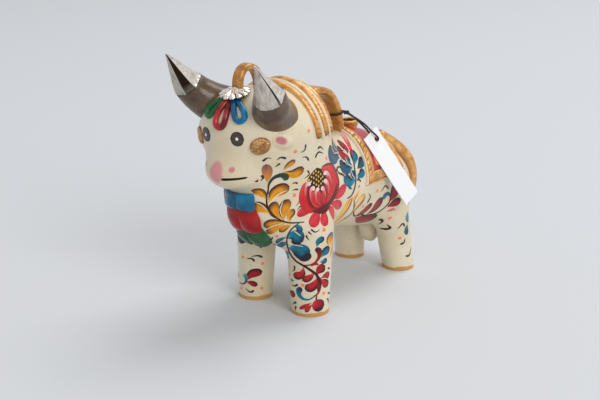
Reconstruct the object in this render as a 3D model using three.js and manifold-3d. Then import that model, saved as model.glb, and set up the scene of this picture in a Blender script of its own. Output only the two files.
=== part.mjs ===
// A hand-built ceramic bull: a hollow clay body with legs, straps, a saddle cloth and
// ribbons luted on to it, two horns with metal tips, and a paper tag on a thin cord.
// Units are millimetres. +Z is up, the bull faces -Y and +X is its left side.

import * as THREE from "three";
import { mergeVertices } from "three/addons/utils/BufferGeometryUtils.js";
import Module from "manifold-3d";

const wasm = await Module();
wasm.setup();

// Clearances and wall
const SEAT_GAP = 0.3;            // between two pieces that rest on each other
const WALL = 5.5;                // clay wall of the hollow body
const SKIN_GAP = 0.42;           // from the true skin to a piece laid on it; the skin's facets sag

// Places along the body, measured from the fore feet before the last shift
const WHEELBASE = 99.8;
const MIDDLE_Y = 32.4;           // middle of the whole length, brought to the origin
const NECK_HEART = new THREE.Vector3(0, -2, 106);
const BACK_HEART_Z = 70;         // centre height of the barrel
const LEG_SEAM_Z = 30;           // where the legs are luted on

// Cell sizes of the three skins
const TORSO_CELL = 7.0;
const HEAD_CELL = 5.6;
const LEG_CELL = 4.8;
const CAVITY_CELL = 10.4;

// Main forms of the body, each a swollen ellipsoid, blended into one skin
const BARREL = { centre: [0, 45, BACK_HEART_Z], radii: [29.5, 58, 31], blend: 10 };
const CHEST = { centre: [0, 0, 77], radii: [30.5, 40, 38], blend: 12 };
const NECK = { centre: [0, -2, 106], radii: [29.5, 30, 34], blend: 12 };
const RUMP = { centre: [0, 86, 57], radii: [27, 38.5, 25.5], blend: 14 };
const SKULL = { centre: [0, -25, 113], radii: [32.5, 29, 26], blend: 10 };
const BROW = { centre: [0, -31, 121], radii: [26, 21, 17], blend: 8 };
const MUZZLE = { centre: [0, -40, 95], radii: [18, 19.5, 12], blend: 9 };
const TRUNK_FORMS = [BARREL, CHEST, NECK, RUMP, SKULL, BROW, MUZZLE];

// Legs: foot centre, foot radius and the radius where the leg runs into the body
const LEG_TOP_Z = 52;
const LEG_BLEND = 9;
const FORE_LEG = { y: 0, topX: 20.5, topY: 1 };
const HIND_LEG = { y: WHEELBASE, topX: 16.5, topY: WHEELBASE - 8, top: 12.5 };
const LEGS = [
  { name: "leg_front_left", side: 1, x: 21.7, foot: 11.6, top: 14.5, ...FORE_LEG },
  { name: "leg_front_right", side: -1, x: 21.7, foot: 10.6, top: 12.8, ...FORE_LEG },
  { name: "leg_rear_left", side: 1, x: 20.1, foot: 10.6, ...HIND_LEG },
  { name: "leg_rear_right", side: -1, x: 20.1, foot: 10.0, ...HIND_LEG },
];

// Small helpers for vectors and solids
function vec(x, y, z) {
  return new THREE.Vector3(x, y, z);
}

function solidOf(geometry) {
  const plain = geometry.clone();
  plain.deleteAttribute("normal");
  plain.deleteAttribute("uv");
  const merged = mergeVertices(plain, 1e-4);
  const mesh = new wasm.Mesh({
    numProp: 3,
    vertProperties: new Float32Array(merged.attributes.position.array),
    triVerts: new Uint32Array(merged.index.array),
  });
  return new wasm.Manifold(mesh);
}

function geometryOf(solid) {
  const mesh = solid.getMesh();
  const geometry = new THREE.BufferGeometry();
  geometry.setAttribute("position", new THREE.BufferAttribute(mesh.vertProperties, 3));
  geometry.setIndex(new THREE.BufferAttribute(mesh.triVerts, 1));
  geometry.computeVertexNormals();
  return geometry;
}

function signedVolume(points, triangles) {
  let volume = 0;
  const cross = vec(0, 0, 0);
  for (const [a, b, c] of triangles) {
    volume += points[a].dot(cross.crossVectors(points[b], points[c])) / 6;
  }
  return volume;
}

function solidFromFaces(points, triangles) {
  const flip = signedVolume(points, triangles) < 0;
  const order = flip ? triangles.map(([a, b, c]) => [a, c, b]) : triangles;
  const geometry = new THREE.BufferGeometry().setFromPoints(points);
  geometry.setIndex(order.flat());
  return solidOf(geometry);
}

// The skin of the body as a distance: negative inside, positive outside
function smoothMin(a, b, width) {
  const overlap = Math.max(width - Math.abs(a - b), 0) / width;
  return Math.min(a, b) - overlap * overlap * width / 4;
}

function ellipsoidDistance(p, { centre, radii }) {
  const dx = p.x - centre[0];
  const dy = p.y - centre[1];
  const dz = p.z - centre[2];
  const scaled = Math.hypot(dx / radii[0], dy / radii[1], dz / radii[2]);
  const slope = Math.hypot(dx / radii[0] ** 2, dy / radii[1] ** 2, dz / radii[2] ** 2);
  return slope < 1e-9 ? -Math.min(...radii) : scaled * (scaled - 1) / slope;
}

function legDistance(p, leg) {
  const rise = THREE.MathUtils.clamp(p.z / LEG_TOP_Z, 0, 1);
  const axisX = leg.side * THREE.MathUtils.lerp(leg.x, leg.topX, rise);
  const axisY = THREE.MathUtils.lerp(leg.y, leg.topY, rise);
  const below = Math.min(p.z, 0);
  const above = Math.max(p.z - LEG_TOP_Z, 0);
  const radius = THREE.MathUtils.lerp(leg.foot, leg.top, rise);
  return Math.hypot(p.x - axisX, p.y - axisY, below, above) - radius;
}

function trunkDistance(p) {
  let distance = ellipsoidDistance(p, TRUNK_FORMS[0]);
  for (const form of TRUNK_FORMS.slice(1)) {
    distance = smoothMin(distance, ellipsoidDistance(p, form), form.blend);
  }
  return distance;
}

function bodyDistance(p) {
  let distance = trunkDistance(p);
  for (const leg of LEGS) {
    distance = smoothMin(distance, legDistance(p, leg), LEG_BLEND);
  }
  return distance;
}

function slopeAt(distance, p) {
  const step = 0.05;
  const along = (axis) => {
    const ahead = p.clone();
    const behind = p.clone();
    ahead[axis] += step;
    behind[axis] -= step;
    return (distance(ahead) - distance(behind)) / (2 * step);
  };
  return vec(along("x"), along("y"), along("z"));
}

function normalAt(p) {
  return slopeAt(bodyDistance, p).normalize();
}

// Move a point on to the surface where the distance equals the level
function pulledTo(distance, level, p, reach) {
  const moved = p.clone();
  for (let round = 0; round < 4; round += 1) {
    const slope = slopeAt(distance, moved);
    const off = (distance(moved) - level) / Math.max(slope.lengthSq(), 0.05);
    moved.addScaledVector(slope, -off);
  }
  const shift = moved.clone().sub(p);
  return shift.length() > reach ? p.clone().add(shift.setLength(reach)) : moved;
}

function onSkin(p) {
  return pulledTo(bodyDistance, 0, p, 12);
}

// The point of the skin that a ray from inside the body reaches
function skinAlong(start, direction) {
  const unit = direction.clone().normalize();
  let inside = 0;
  let outside = 90;
  for (let round = 0; round < 26; round += 1) {
    const middle = (inside + outside) / 2;
    const p = start.clone().addScaledVector(unit, middle);
    if (bodyDistance(p) < 0) inside = middle;
    else outside = middle;
  }
  return start.clone().addScaledVector(unit, inside);
}

// Cover a distance function with a net of quads, one vertex for each crossed cell
const SPACE = new THREE.Box3(vec(-48, -76, -30), vec(48, 144, 162));

function netOver(distance, level, cell) {
  const size = SPACE.getSize(vec(0, 0, 0));
  const half = Math.ceil(size.x / 2 / cell);
  const counts = [2 * half, Math.ceil(size.y / cell), Math.ceil(size.z / cell)];
  const start = vec(-half * cell, SPACE.min.y, SPACE.min.z);
  const nodeAt = (i, j, k) => vec(start.x + i * cell, start.y + j * cell, start.z + k * cell);
  const stride = [1, counts[0] + 1, (counts[0] + 1) * (counts[1] + 1)];
  const indexOf = (i, j, k) => i * stride[0] + j * stride[1] + k * stride[2];
  const values = [];
  for (let k = 0; k <= counts[2]; k += 1) {
    for (let j = 0; j <= counts[1]; j += 1) {
      for (let i = 0; i <= counts[0]; i += 1) values.push(distance(nodeAt(i, j, k)) - level);
    }
  }

  const corners = [0, 1, 2, 3, 4, 5, 6, 7].map((n) => [n & 1, (n >> 1) & 1, n >> 2]);
  const edges = [];
  for (const a of corners) {
    for (let axis = 0; axis < 3; axis += 1) {
      if (a[axis] === 0) edges.push([a, a.map((value, n) => (n === axis ? 1 : value))]);
    }
  }

  const points = [];
  const vertexOf = new Map();
  for (let k = 0; k < counts[2]; k += 1) {
    for (let j = 0; j < counts[1]; j += 1) {
      for (let i = 0; i < counts[0]; i += 1) {
        const sum = vec(0, 0, 0);
        let hits = 0;
        for (const [a, b] of edges) {
          const va = values[indexOf(i + a[0], j + a[1], k + a[2])];
          const vb = values[indexOf(i + b[0], j + b[1], k + b[2])];
          if (va < 0 === vb < 0) continue;
          const from = nodeAt(i + a[0], j + a[1], k + a[2]);
          const to = nodeAt(i + b[0], j + b[1], k + b[2]);
          sum.add(from.lerp(to, va / (va - vb)));
          hits += 1;
        }
        if (hits === 0) continue;
        vertexOf.set(indexOf(i, j, k), points.length);
        points.push(pulledTo(distance, level, sum.divideScalar(hits), cell / 2));
      }
    }
  }

  const triangles = [];
  for (let k = 1; k < counts[2]; k += 1) {
    for (let j = 1; j < counts[1]; j += 1) {
      for (let i = 1; i < counts[0]; i += 1) {
        const here = indexOf(i, j, k);
        for (let axis = 0; axis < 3; axis += 1) {
          const next = here + stride[axis];
          if (values[here] < 0 === values[next] < 0) continue;
          const u = stride[(axis + 1) % 3];
          const w = stride[(axis + 2) % 3];
          const ring = [here, here - u, here - u - w, here - w].map((n) => vertexOf.get(n));
          if (values[here] >= 0) ring.reverse();
          const [a, b, c, d] = ring;
          const short = points[a].distanceTo(points[c]) < points[b].distanceTo(points[d]);
          triangles.push(...(short ? [[a, b, c], [a, c, d]] : [[a, b, d], [b, c, d]]));
        }
      }
    }
  }
  return solidFromFaces(points, triangles);
}

// Faces between rings of points that follow each other
function wallsBetween(rings, closed) {
  const width = rings[0].length;
  const triangles = [];
  const last = closed ? rings.length : rings.length - 1;
  for (let row = 0; row < last; row += 1) {
    const next = (row + 1) % rings.length;
    for (let n = 0; n < width; n += 1) {
      const m = (n + 1) % width;
      const a = row * width + n;
      const b = row * width + m;
      const c = next * width + m;
      const d = next * width + n;
      triangles.push([a, b, c], [a, c, d]);
    }
  }
  return triangles;
}

// Join rings of points into one closed solid, with flat ends or end to start
function loftRings(rings, closed = false) {
  const points = rings.flat();
  const width = rings[0].length;
  const triangles = wallsBetween(rings, closed);
  if (!closed) {
    for (const [row, turn] of [[0, true], [rings.length - 1, false]]) {
      const middle = rings[row].reduce((sum, p) => sum.add(p), vec(0, 0, 0)).divideScalar(width);
      points.push(middle);
      for (let n = 0; n < width; n += 1) {
        const a = row * width + n;
        const b = row * width + ((n + 1) % width);
        triangles.push(turn ? [points.length - 1, b, a] : [points.length - 1, a, b]);
      }
    }
  }
  return solidFromFaces(points, triangles);
}

// Rings of one cross-section carried along a path. The section is a list of [side, up]
// pairs, the scale at each station narrows it, and upAt gives the way up.
function sweepRings(path, upAt, section, scaleAt, closed = false) {
  const count = path.length;
  return path.map((place, n) => {
    const before = closed ? path[(n + count - 1) % count] : path[Math.max(n - 1, 0)];
    const after = closed ? path[(n + 1) % count] : path[Math.min(n + 1, count - 1)];
    const ahead = after.clone().sub(before).normalize();
    const up = upAt(place, n);
    up.addScaledVector(ahead, -up.dot(ahead)).normalize();
    const side = ahead.clone().cross(up);
    const scale = scaleAt(n / (count - 1));
    return section.map(([a, h]) => place.clone()
      .addScaledVector(side, a * scale)
      .addScaledVector(up, h * scale));
  });
}

function roundSection(sides, halfWidth, halfHeight) {
  return Array.from({ length: sides }, (_, n) => {
    const turn = (n / sides) * 2 * Math.PI;
    return [Math.cos(turn) * halfWidth, Math.sin(turn) * halfHeight];
  });
}

function smoothPath(points, count, closed = false) {
  const curve = new THREE.CatmullRomCurve3(points, closed, "centripetal");
  const spaced = curve.getSpacedPoints(count);
  return closed ? spaced.slice(0, -1) : spaced;
}

function boxSolid(width, depth, height, x, y, z) {
  const geometry = new THREE.BoxGeometry(width, depth, height);
  geometry.translate(x, y, z);
  return solidOf(geometry);
}

// A prism across the whole width, from an outline of [y, z] points seen from the side
function sidePrism(outline, width) {
  const shape = new THREE.Shape(outline.map(([y, z]) => new THREE.Vector2(y, z)));
  const geometry = new THREE.ExtrudeGeometry(shape, { depth: width, bevelEnabled: false, steps: 1 });
  geometry.translate(0, 0, -width / 2);
  geometry.applyMatrix4(new THREE.Matrix4().makeBasis(vec(0, 1, 0), vec(0, 0, 1), vec(1, 0, 0)));
  return solidOf(geometry);
}

function rodSolid(radius, start, end, sides) {
  const length = start.distanceTo(end);
  const geometry = new THREE.CylinderGeometry(radius, radius, length, sides);
  const turn = new THREE.Quaternion().setFromUnitVectors(vec(0, 1, 0), end.clone().sub(start).normalize());
  geometry.applyQuaternion(turn);
  const middle = start.clone().add(end).divideScalar(2);
  geometry.translate(...middle.toArray());
  return solidOf(geometry);
}

// A flattened ball that lies on the skin, its first radius along the given way
function skinButton(place, along, radii, lift, across, rows) {
  const up = normalAt(place);
  const first = along.clone().addScaledVector(up, -along.dot(up)).normalize();
  const second = up.clone().cross(first);
  const geometry = new THREE.SphereGeometry(1, across, rows);
  geometry.scale(...radii);
  geometry.applyMatrix4(new THREE.Matrix4().makeBasis(first, second, up));
  const centre = place.clone().addScaledVector(up, lift);
  geometry.translate(...centre.toArray());
  return solidOf(geometry);
}

// Skins at each fineness, and the same skins grown by the seat gap to cut what rests on them
const torsoSkin = netOver(bodyDistance, 0, TORSO_CELL);
const headSkin = netOver(bodyDistance, 0, HEAD_CELL);
const legSkin = netOver(bodyDistance, 0, LEG_CELL);
const cavity = netOver(trunkDistance, -WALL, CAVITY_CELL);
const torsoSeat = netOver(bodyDistance, SEAT_GAP, TORSO_CELL);
const headSeat = netOver(bodyDistance, SEAT_GAP, HEAD_CELL);

// The seam of the neck, seen from the side: nape, throat and under the jaw
const NAPE_Y = 3;
const THROAT_Y = -40;
const JAW_Z = 82;
const NAPE_Z = 145;              // below this the seam slants forwards to the throat
const CUT_TOP = 175;
const CUT_FRONT = -100;
const CUT_WIDTH = 120;
function headZone(grow) {
  return sidePrism([
    [NAPE_Y + grow, CUT_TOP],
    [NAPE_Y + grow, NAPE_Z],
    [THROAT_Y + grow, JAW_Z - grow],
    [CUT_FRONT, JAW_Z - grow],
    [CUT_FRONT, CUT_TOP],
  ], CUT_WIDTH);
}

// A box round one leg, below its seam
const LEG_BOX = 44;
const LEG_BOX_INNER_X = 7.2;
const FOOT_CUT = 20;
function legZone(leg, grow) {
  const height = LEG_SEAM_Z + FOOT_CUT + grow;
  return boxSolid(LEG_BOX, LEG_BOX + 2 * grow, height,
    leg.side * (LEG_BOX_INNER_X + LEG_BOX / 2 - grow), leg.y, height / 2 - FOOT_CUT);
}

// Everything over the surface that the feet stand on
const ROOM = 400;
const aboveFloor = boxSolid(ROOM, ROOM, ROOM, 0, 0, ROOM / 2);

// Spout: a short flared collar on the back, whose bore opens into the hollow body
const SPOUT_Y = 67.5;
const SPOUT_BORE = 4.2;
const SPOUT_NECK = 5.9;
const SPOUT_RIM = 7.2;
const SPOUT_TOP_Z = 104.6;
const SPOUT_ROOT_Z = 90;
const SPOUT_ROOT_SWELL = 1.2;
const SPOUT_WAIST_DROP = 5;      // from the rim down to the narrow part
const SPOUT_SIDES = 20;
const BORE_SIDES = 24;
function spoutCollar() {
  const lip = 0.9;
  const profile = [
    [SPOUT_BORE, SPOUT_ROOT_Z],
    [SPOUT_NECK + SPOUT_ROOT_SWELL, SPOUT_ROOT_Z],
    [SPOUT_NECK, SPOUT_TOP_Z - SPOUT_WAIST_DROP],
    [SPOUT_RIM, SPOUT_TOP_Z - lip],
    [SPOUT_RIM - lip, SPOUT_TOP_Z],
    [SPOUT_BORE + lip, SPOUT_TOP_Z],
    [SPOUT_BORE, SPOUT_TOP_Z - lip],
    [SPOUT_BORE, SPOUT_ROOT_Z],
  ].map(([r, z]) => new THREE.Vector2(r, z));
  const geometry = new THREE.LatheGeometry(profile, SPOUT_SIDES);
  geometry.rotateX(Math.PI / 2);
  geometry.translate(0, SPOUT_Y, 0);
  return solidOf(geometry).subtract(torsoSeat);
}

function spoutBore() {
  const inward = 20;
  const clear = 2;
  const low = vec(0, SPOUT_Y, SPOUT_ROOT_Z - inward);
  const high = vec(0, SPOUT_Y, SPOUT_TOP_Z + clear);
  return rodSolid(SPOUT_BORE, low, high, BORE_SIDES);
}

// An upright rod where the spout stands, which clears what lies round the spout
function spoutRoom(radius, sides) {
  const past = 9;
  const low = vec(0, SPOUT_Y, SPOUT_ROOT_Z - past);
  const high = vec(0, SPOUT_Y, SPOUT_TOP_Z + past);
  return rodSolid(radius, low, high, sides);
}

// Horns: a stout curved horn whose end is turned down to carry the metal tip
const HORN_ROOT = vec(17.5, -27, 125);
const HORN_BEND = vec(23.8, -38, 131.5);
const HORN_COLLAR = vec(29.7, -47.5, 141);
const HORN_TIP = vec(32.4, -62.9, 160.9);
const HORN_ROOT_RADIUS = 13.0;
const HORN_COLLAR_RADIUS = 9.2;
const TIP_BASE_RADIUS = 9.6;
const TIP_WALL = 1.2;
const TIP_POINT_RADIUS = 0.5;
const TENON_LENGTH = 9;
const TENON_TAPER = 3.4;
const HORN_PEG_RADIUS = 4.5;
const HORN_PEG_DEPTH = 9;
const HORN_PEG_SIDES = 16;
const HORN_SIDES = 18;
const HORN_STATIONS = 6;
const TENON_STATIONS = 2;
const HORN_SWELL = 1.15;         // powers that bow the outline of the horn and of its tip
const TIP_SWELL = 0.94;

function mirrored(p, side) {
  return vec(p.x * side, p.y, p.z);
}

function hornLine(side) {
  const points = [HORN_ROOT, HORN_BEND, HORN_COLLAR, HORN_TIP].map((p) => mirrored(p, side));
  return new THREE.CatmullRomCurve3(points, false, "centripetal");
}

function collarShare(line) {
  const steps = 200;
  const collarZ = HORN_COLLAR.z;
  for (let n = 0; n <= steps; n += 1) {
    if (line.getPointAt(n / steps).z >= collarZ) return n / steps;
  }
  return 1;
}

function coneAlong(line, from, to, radiusAt, stations) {
  const rings = Array.from({ length: stations + 1 }, (_, n) => {
    const share = THREE.MathUtils.lerp(from, to, n / stations);
    const place = line.getPointAt(share);
    const ahead = line.getTangentAt(share);
    const side = vec(1, 0, 0).addScaledVector(ahead, -ahead.x).normalize();
    const up = side.clone().cross(ahead);
    const radius = radiusAt(n / stations);
    return roundSection(HORN_SIDES, radius, radius).map(([a, h]) => place.clone()
      .addScaledVector(side, a)
      .addScaledVector(up, h));
  });
  return loftRings(rings);
}

function tipRadius(share) {
  return THREE.MathUtils.lerp(TIP_BASE_RADIUS, TIP_POINT_RADIUS, share ** TIP_SWELL);
}

function tenonRadius(share, grow) {
  return TIP_BASE_RADIUS - TIP_WALL - TENON_TAPER * share + grow;
}

function hornPeg(side, radius) {
  const root = mirrored(HORN_ROOT, side);
  const bend = mirrored(HORN_BEND, side);
  const inward = root.clone().sub(bend).normalize();
  return rodSolid(radius, bend, root.clone().addScaledVector(inward, HORN_PEG_DEPTH), HORN_PEG_SIDES);
}

function hornParts(side) {
  const line = hornLine(side);
  const seam = collarShare(line);
  const gap = SEAT_GAP / line.getLength();
  const tenonEnd = seam + TENON_LENGTH / line.getLength();
  const swell = (share) => THREE.MathUtils.lerp(HORN_ROOT_RADIUS, HORN_COLLAR_RADIUS, share ** HORN_SWELL);
  const body = coneAlong(line, 0, seam, swell, HORN_STATIONS);
  const tenon = coneAlong(line, seam - gap, tenonEnd, (share) => tenonRadius(share, 0), TENON_STATIONS);
  const peg = hornPeg(side, HORN_PEG_RADIUS);
  const horn = body.subtract(headSeat).add(tenon).add(peg);
  const grown = (share) => tenonRadius(share, SEAT_GAP);
  const socket = coneAlong(line, seam, tenonEnd + gap, grown, TENON_STATIONS);
  const tip = coneAlong(line, seam + gap, 1, tipRadius, HORN_STATIONS).subtract(socket);
  return { horn, tip, pegHole: hornPeg(side, HORN_PEG_RADIUS + SEAT_GAP) };
}

const leftHorn = hornParts(1);
const rightHorn = hornParts(-1);

// Mouth: a slit carved round the front of the muzzle, the corners a little raised
const MOUTH_Z = 91.4;
const MOUTH_HALF_SPAN = 15;
const MOUTH_DEPTH = 2.2;
const MOUTH_HEIGHT = 1.5;
const MOUTH_CORNER_RISE = 2.8;
const MOUTH_CORNER_SHARE = 0.12; // how much of the height is left at the corners, squared
const MOUTH_PROUD = 2;
function mouthSlit() {
  const count = 9;
  const heart = vec(0, MUZZLE.centre[1], MOUTH_Z);
  const rings = Array.from({ length: count }, (_, n) => {
    const share = (n / (count - 1)) * 2 - 1;
    const reach = share * MOUTH_HALF_SPAN;
    const toward = vec(reach, -MUZZLE.radii[1], 0);
    const start = heart.clone().setZ(MOUTH_Z + MOUTH_CORNER_RISE * share * share);
    const skin = skinAlong(start, toward);
    const out = normalAt(skin);
    const half = MOUTH_HEIGHT / 2 * Math.sqrt(Math.max(1 - share * share, MOUTH_CORNER_SHARE));
    const inner = skin.clone().addScaledVector(out, -MOUTH_DEPTH);
    const outer = skin.clone().addScaledVector(out, MOUTH_PROUD);
    return [
      inner.clone().add(vec(0, 0, -half / 2)),
      outer.clone().add(vec(0, 0, -half)),
      outer.clone().add(vec(0, 0, half)),
      inner.clone().add(vec(0, 0, half / 2)),
    ];
  });
  return loftRings(rings);
}

function torsoSolid() {
  let solid = torsoSkin.intersect(aboveFloor).subtract(cavity).subtract(headZone(SEAT_GAP));
  for (const leg of LEGS) solid = solid.subtract(legZone(leg, SEAT_GAP));
  return solid.subtract(spoutBore());
}

function headSolid() {
  return headSkin.subtract(cavity)
    .intersect(headZone(0))
    .subtract(mouthSlit())
    .subtract(leftHorn.pegHole)
    .subtract(rightHorn.pegHole);
}

function legSolid(leg) {
  return legSkin.intersect(aboveFloor).intersect(legZone(leg, 0));
}

// A small rounded lug under the belly, between the hind legs
const BOSS_RADII = [6.5, 8.5, 12];
const BOSS_PLACE = vec(0, WHEELBASE - 6, 26);
const BOSS_GAP = 3 * SEAT_GAP;
function bellyBoss() {
  const geometry = new THREE.SphereGeometry(1, 12, 8);
  geometry.scale(...BOSS_RADII);
  geometry.translate(...BOSS_PLACE.toArray());
  return solidOf(geometry).subtract(netOver(bodyDistance, BOSS_GAP, TORSO_CELL));
}

// Ears: low round bumps with a shallow dish, behind the cheeks
const EAR_PLACE = vec(32, -35, 114.5);
const EAR_LENGTHWAYS = vec(0, 0.35, 0.95);
const EAR_RADII = [5.0, 4.4, 2.6];
const EAR_DISH_RADIUS = 3.6;
const EAR_DISH_RISE = 4.9;       // of the dish's centre over the skin
function ear(side) {
  const place = onSkin(mirrored(EAR_PLACE, side));
  const bump = skinButton(place, EAR_LENGTHWAYS, EAR_RADII, 0, 12, 6);
  const heart = place.clone().addScaledVector(normalAt(place), EAR_DISH_RISE);
  const dish = new THREE.SphereGeometry(EAR_DISH_RADIUS, 10, 8);
  dish.translate(...heart.toArray());
  return bump.subtract(solidOf(dish)).subtract(headSeat);
}

// Cheek medallions: low ovals in front of the ears
const CHEEK_PLACE = vec(22.3, -46.5, 112.5);
const CHEEK_LENGTHWAYS = vec(1, 0.5, 0.35);
const CHEEK_RADII = [6.1, 5.0, 2.0];
const CHEEK_LIFT = 0.1;
function cheekMedallion(side) {
  const place = onSkin(mirrored(CHEEK_PLACE, side));
  const button = skinButton(place, mirrored(CHEEK_LENGTHWAYS, side), CHEEK_RADII, CHEEK_LIFT, 14, 6);
  return button.subtract(headSeat);
}

// Ribbon loops on the forehead: each a strand that leaves the rosette, drops to a round
// tip and comes back beside itself
const ROSETTE_PLACE = vec(0, -43, 140);
const RIBBONS = [
  { name: "forehead_ribbon_green", tip: vec(-14.0, -52.5, 127), color: 0x2e6b45 },
  { name: "forehead_ribbon_red", tip: vec(-0.8, -54, 120.8), color: 0xbf3b48 },
  { name: "forehead_ribbon_blue", tip: vec(13.6, -52.5, 126.8), color: 0x2079a8 },
];
const RIBBON_HALF_WIDTH = 3.8;
const RIBBON_TOP_SPREAD = 0.62;  // share of the half width between the strands at the rosette
const RIBBON_TIP_SPREAD = 1.2;   // and how full the round tip is
const RIBBON_MOUTH_TURN = 0.7;   // turn from the top of the loop at which the strands start
const RIBBON_SHARES = [0.33, 0.98];   // where the loop starts and ends, from rosette to tip
const RIBBON_STATIONS = 20;
const RIBBON_SECTION = [[-1.3, SKIN_GAP], [1.3, SKIN_GAP], [1.5, 1.3], [0.8, 2.4], [-0.8, 2.4], [-1.5, 1.3]];
const FOREHEAD_OUT = vec(0, -1, 0.4);
function foreheadRibbon({ tip }) {
  const lastTurn = 2 * Math.PI - RIBBON_MOUTH_TURN;
  const across = tip.clone().sub(ROSETTE_PLACE).cross(FOREHEAD_OUT).normalize();
  const path = Array.from({ length: RIBBON_STATIONS + 1 }, (_, n) => {
    const turn = THREE.MathUtils.lerp(RIBBON_MOUTH_TURN, lastTurn, n / RIBBON_STATIONS);
    const along = (1 - Math.cos(turn)) / 2;
    const spread = THREE.MathUtils.lerp(RIBBON_TOP_SPREAD, RIBBON_TIP_SPREAD, along ** 2);
    const share = THREE.MathUtils.lerp(...RIBBON_SHARES, along);
    const width = Math.sin(turn) * RIBBON_HALF_WIDTH * spread;
    return onSkin(ROSETTE_PLACE.clone().lerp(tip, share).addScaledVector(across, width));
  });
  const rings = sweepRings(path, (p) => normalAt(p), RIBBON_SECTION, () => 1);
  return loftRings(rings).subtract(rosetteSolid(SEAT_GAP));
}

// Rosette: a stamped metal flower, domed and scalloped
const ROSETTE_RADIUS = 8.9;
const ROSETTE_PETALS = 10;
const ROSETTE_TILT = 0.05;
const ROSETTE_LIFT = 1.0;
const ROSETTE_NOTCH = 0.1;       // of the radius, between two petals
const ROSETTE_FOLD = 0.75;       // depth of the valley between two petals
const ROSETTE_RINGS = [0.22, 0.62, 1];   // shares of the radius
const ROSETTE_RISES = [2.6, 2.9, 1.4];   // height of the dome at each ring
const ROSETTE_EDGE = 1.2;
const ROSETTE_STEM = 4.2;        // from the dome's top down into the clay
function rosetteSolid(grow) {
  const spokes = ROSETTE_PETALS * 4;
  const base = onSkin(ROSETTE_PLACE);
  const up = vec(0, -Math.sin(ROSETTE_TILT), Math.cos(ROSETTE_TILT));
  const side = vec(1, 0, 0);
  const front = up.clone().cross(side);
  const at = (r, turn, h) => base.clone()
    .addScaledVector(side, Math.cos(turn) * r)
    .addScaledVector(front, Math.sin(turn) * r)
    .addScaledVector(up, h + ROSETTE_LIFT);
  const rings = ROSETTE_RINGS.map((share, row) => Array.from({ length: spokes }, (_, n) => {
    const turn = (n / spokes) * 2 * Math.PI;
    const wave = Math.abs(Math.cos(turn * ROSETTE_PETALS / 2));
    const scallop = 1 - ROSETTE_NOTCH * (1 - wave) * share;
    const fold = ROSETTE_FOLD * (1 - wave) * (row === 0 ? 0 : 1);
    return at((ROSETTE_RADIUS + grow) * share * scallop, turn, ROSETTE_RISES[row] - fold + grow);
  }));
  const lowered = (ring, drop) => ring.map((p) => p.clone().addScaledVector(up, -drop - 2 * grow));
  rings.push(lowered(rings[2], ROSETTE_EDGE), lowered(rings[0], ROSETTE_STEM));
  return loftRings(rings);
}

// Handles: flat straps of clay bent to an arch, flared where they are luted on
const FOREHEAD_HANDLE_HALF_WIDTH = 3.3;
const BACK_HANDLE_HALF_WIDTH = 6.5;
const HANDLE_HALF_THICK = 2.2;
const HANDLE_STATIONS = 18;
const HANDLE_ROUNDING = 1.0;
const HANDLE_FLARE = 0.25;       // how much wider a foot is than the middle
const HANDLE_FLARE_START = 0.72; // share of the way from the middle to a foot
function handleSection(halfWidth) {
  const side = halfWidth - HANDLE_ROUNDING;
  const edge = HANDLE_HALF_THICK - HANDLE_ROUNDING;
  return [
    [-halfWidth, -edge], [-side, -HANDLE_HALF_THICK], [side, -HANDLE_HALF_THICK], [halfWidth, -edge],
    [halfWidth, edge], [side, HANDLE_HALF_THICK], [-side, HANDLE_HALF_THICK], [-halfWidth, edge],
  ];
}

function handleSolid(points, halfWidth) {
  const path = smoothPath(points, HANDLE_STATIONS);
  const scaleAt = (share) => {
    const past = Math.max(0, Math.abs(2 * share - 1) - HANDLE_FLARE_START);
    return 1 + HANDLE_FLARE * past / (1 - HANDLE_FLARE_START);
  };
  const rings = sweepRings(path, (p, n) => {
    const before = path[Math.max(n - 1, 0)];
    const after = path[Math.min(n + 1, path.length - 1)];
    return vec(1, 0, 0).cross(after.clone().sub(before));
  }, handleSection(halfWidth), scaleAt);
  return loftRings(rings);
}

const FOREHEAD_HANDLE = [
  vec(0, -38, 135), vec(0, -39, 145), vec(0, -36, 151), vec(0, -30.5, 152.6),
  vec(0, -25, 150), vec(0, -21.5, 144), vec(0, -20.5, 135),
];
const BACK_HANDLE = [
  vec(0, 13, 121), vec(0, 20.5, 127.5), vec(0, 29.5, 129.6), vec(0, 41, 126.2),
  vec(0, 48.7, 117.5), vec(0, 52, 109), vec(0, 53.5, 95),
];

function foreheadHandle() {
  return handleSolid(FOREHEAD_HANDLE, FOREHEAD_HANDLE_HALF_WIDTH)
    .subtract(headSeat)
    .subtract(rosetteSolid(SEAT_GAP));
}

function backHandle() {
  return handleSolid(BACK_HANDLE, BACK_HANDLE_HALF_WIDTH)
    .subtract(torsoSeat)
    .subtract(spoutRoom(SPOUT_RIM + SEAT_GAP, 32));
}

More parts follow.
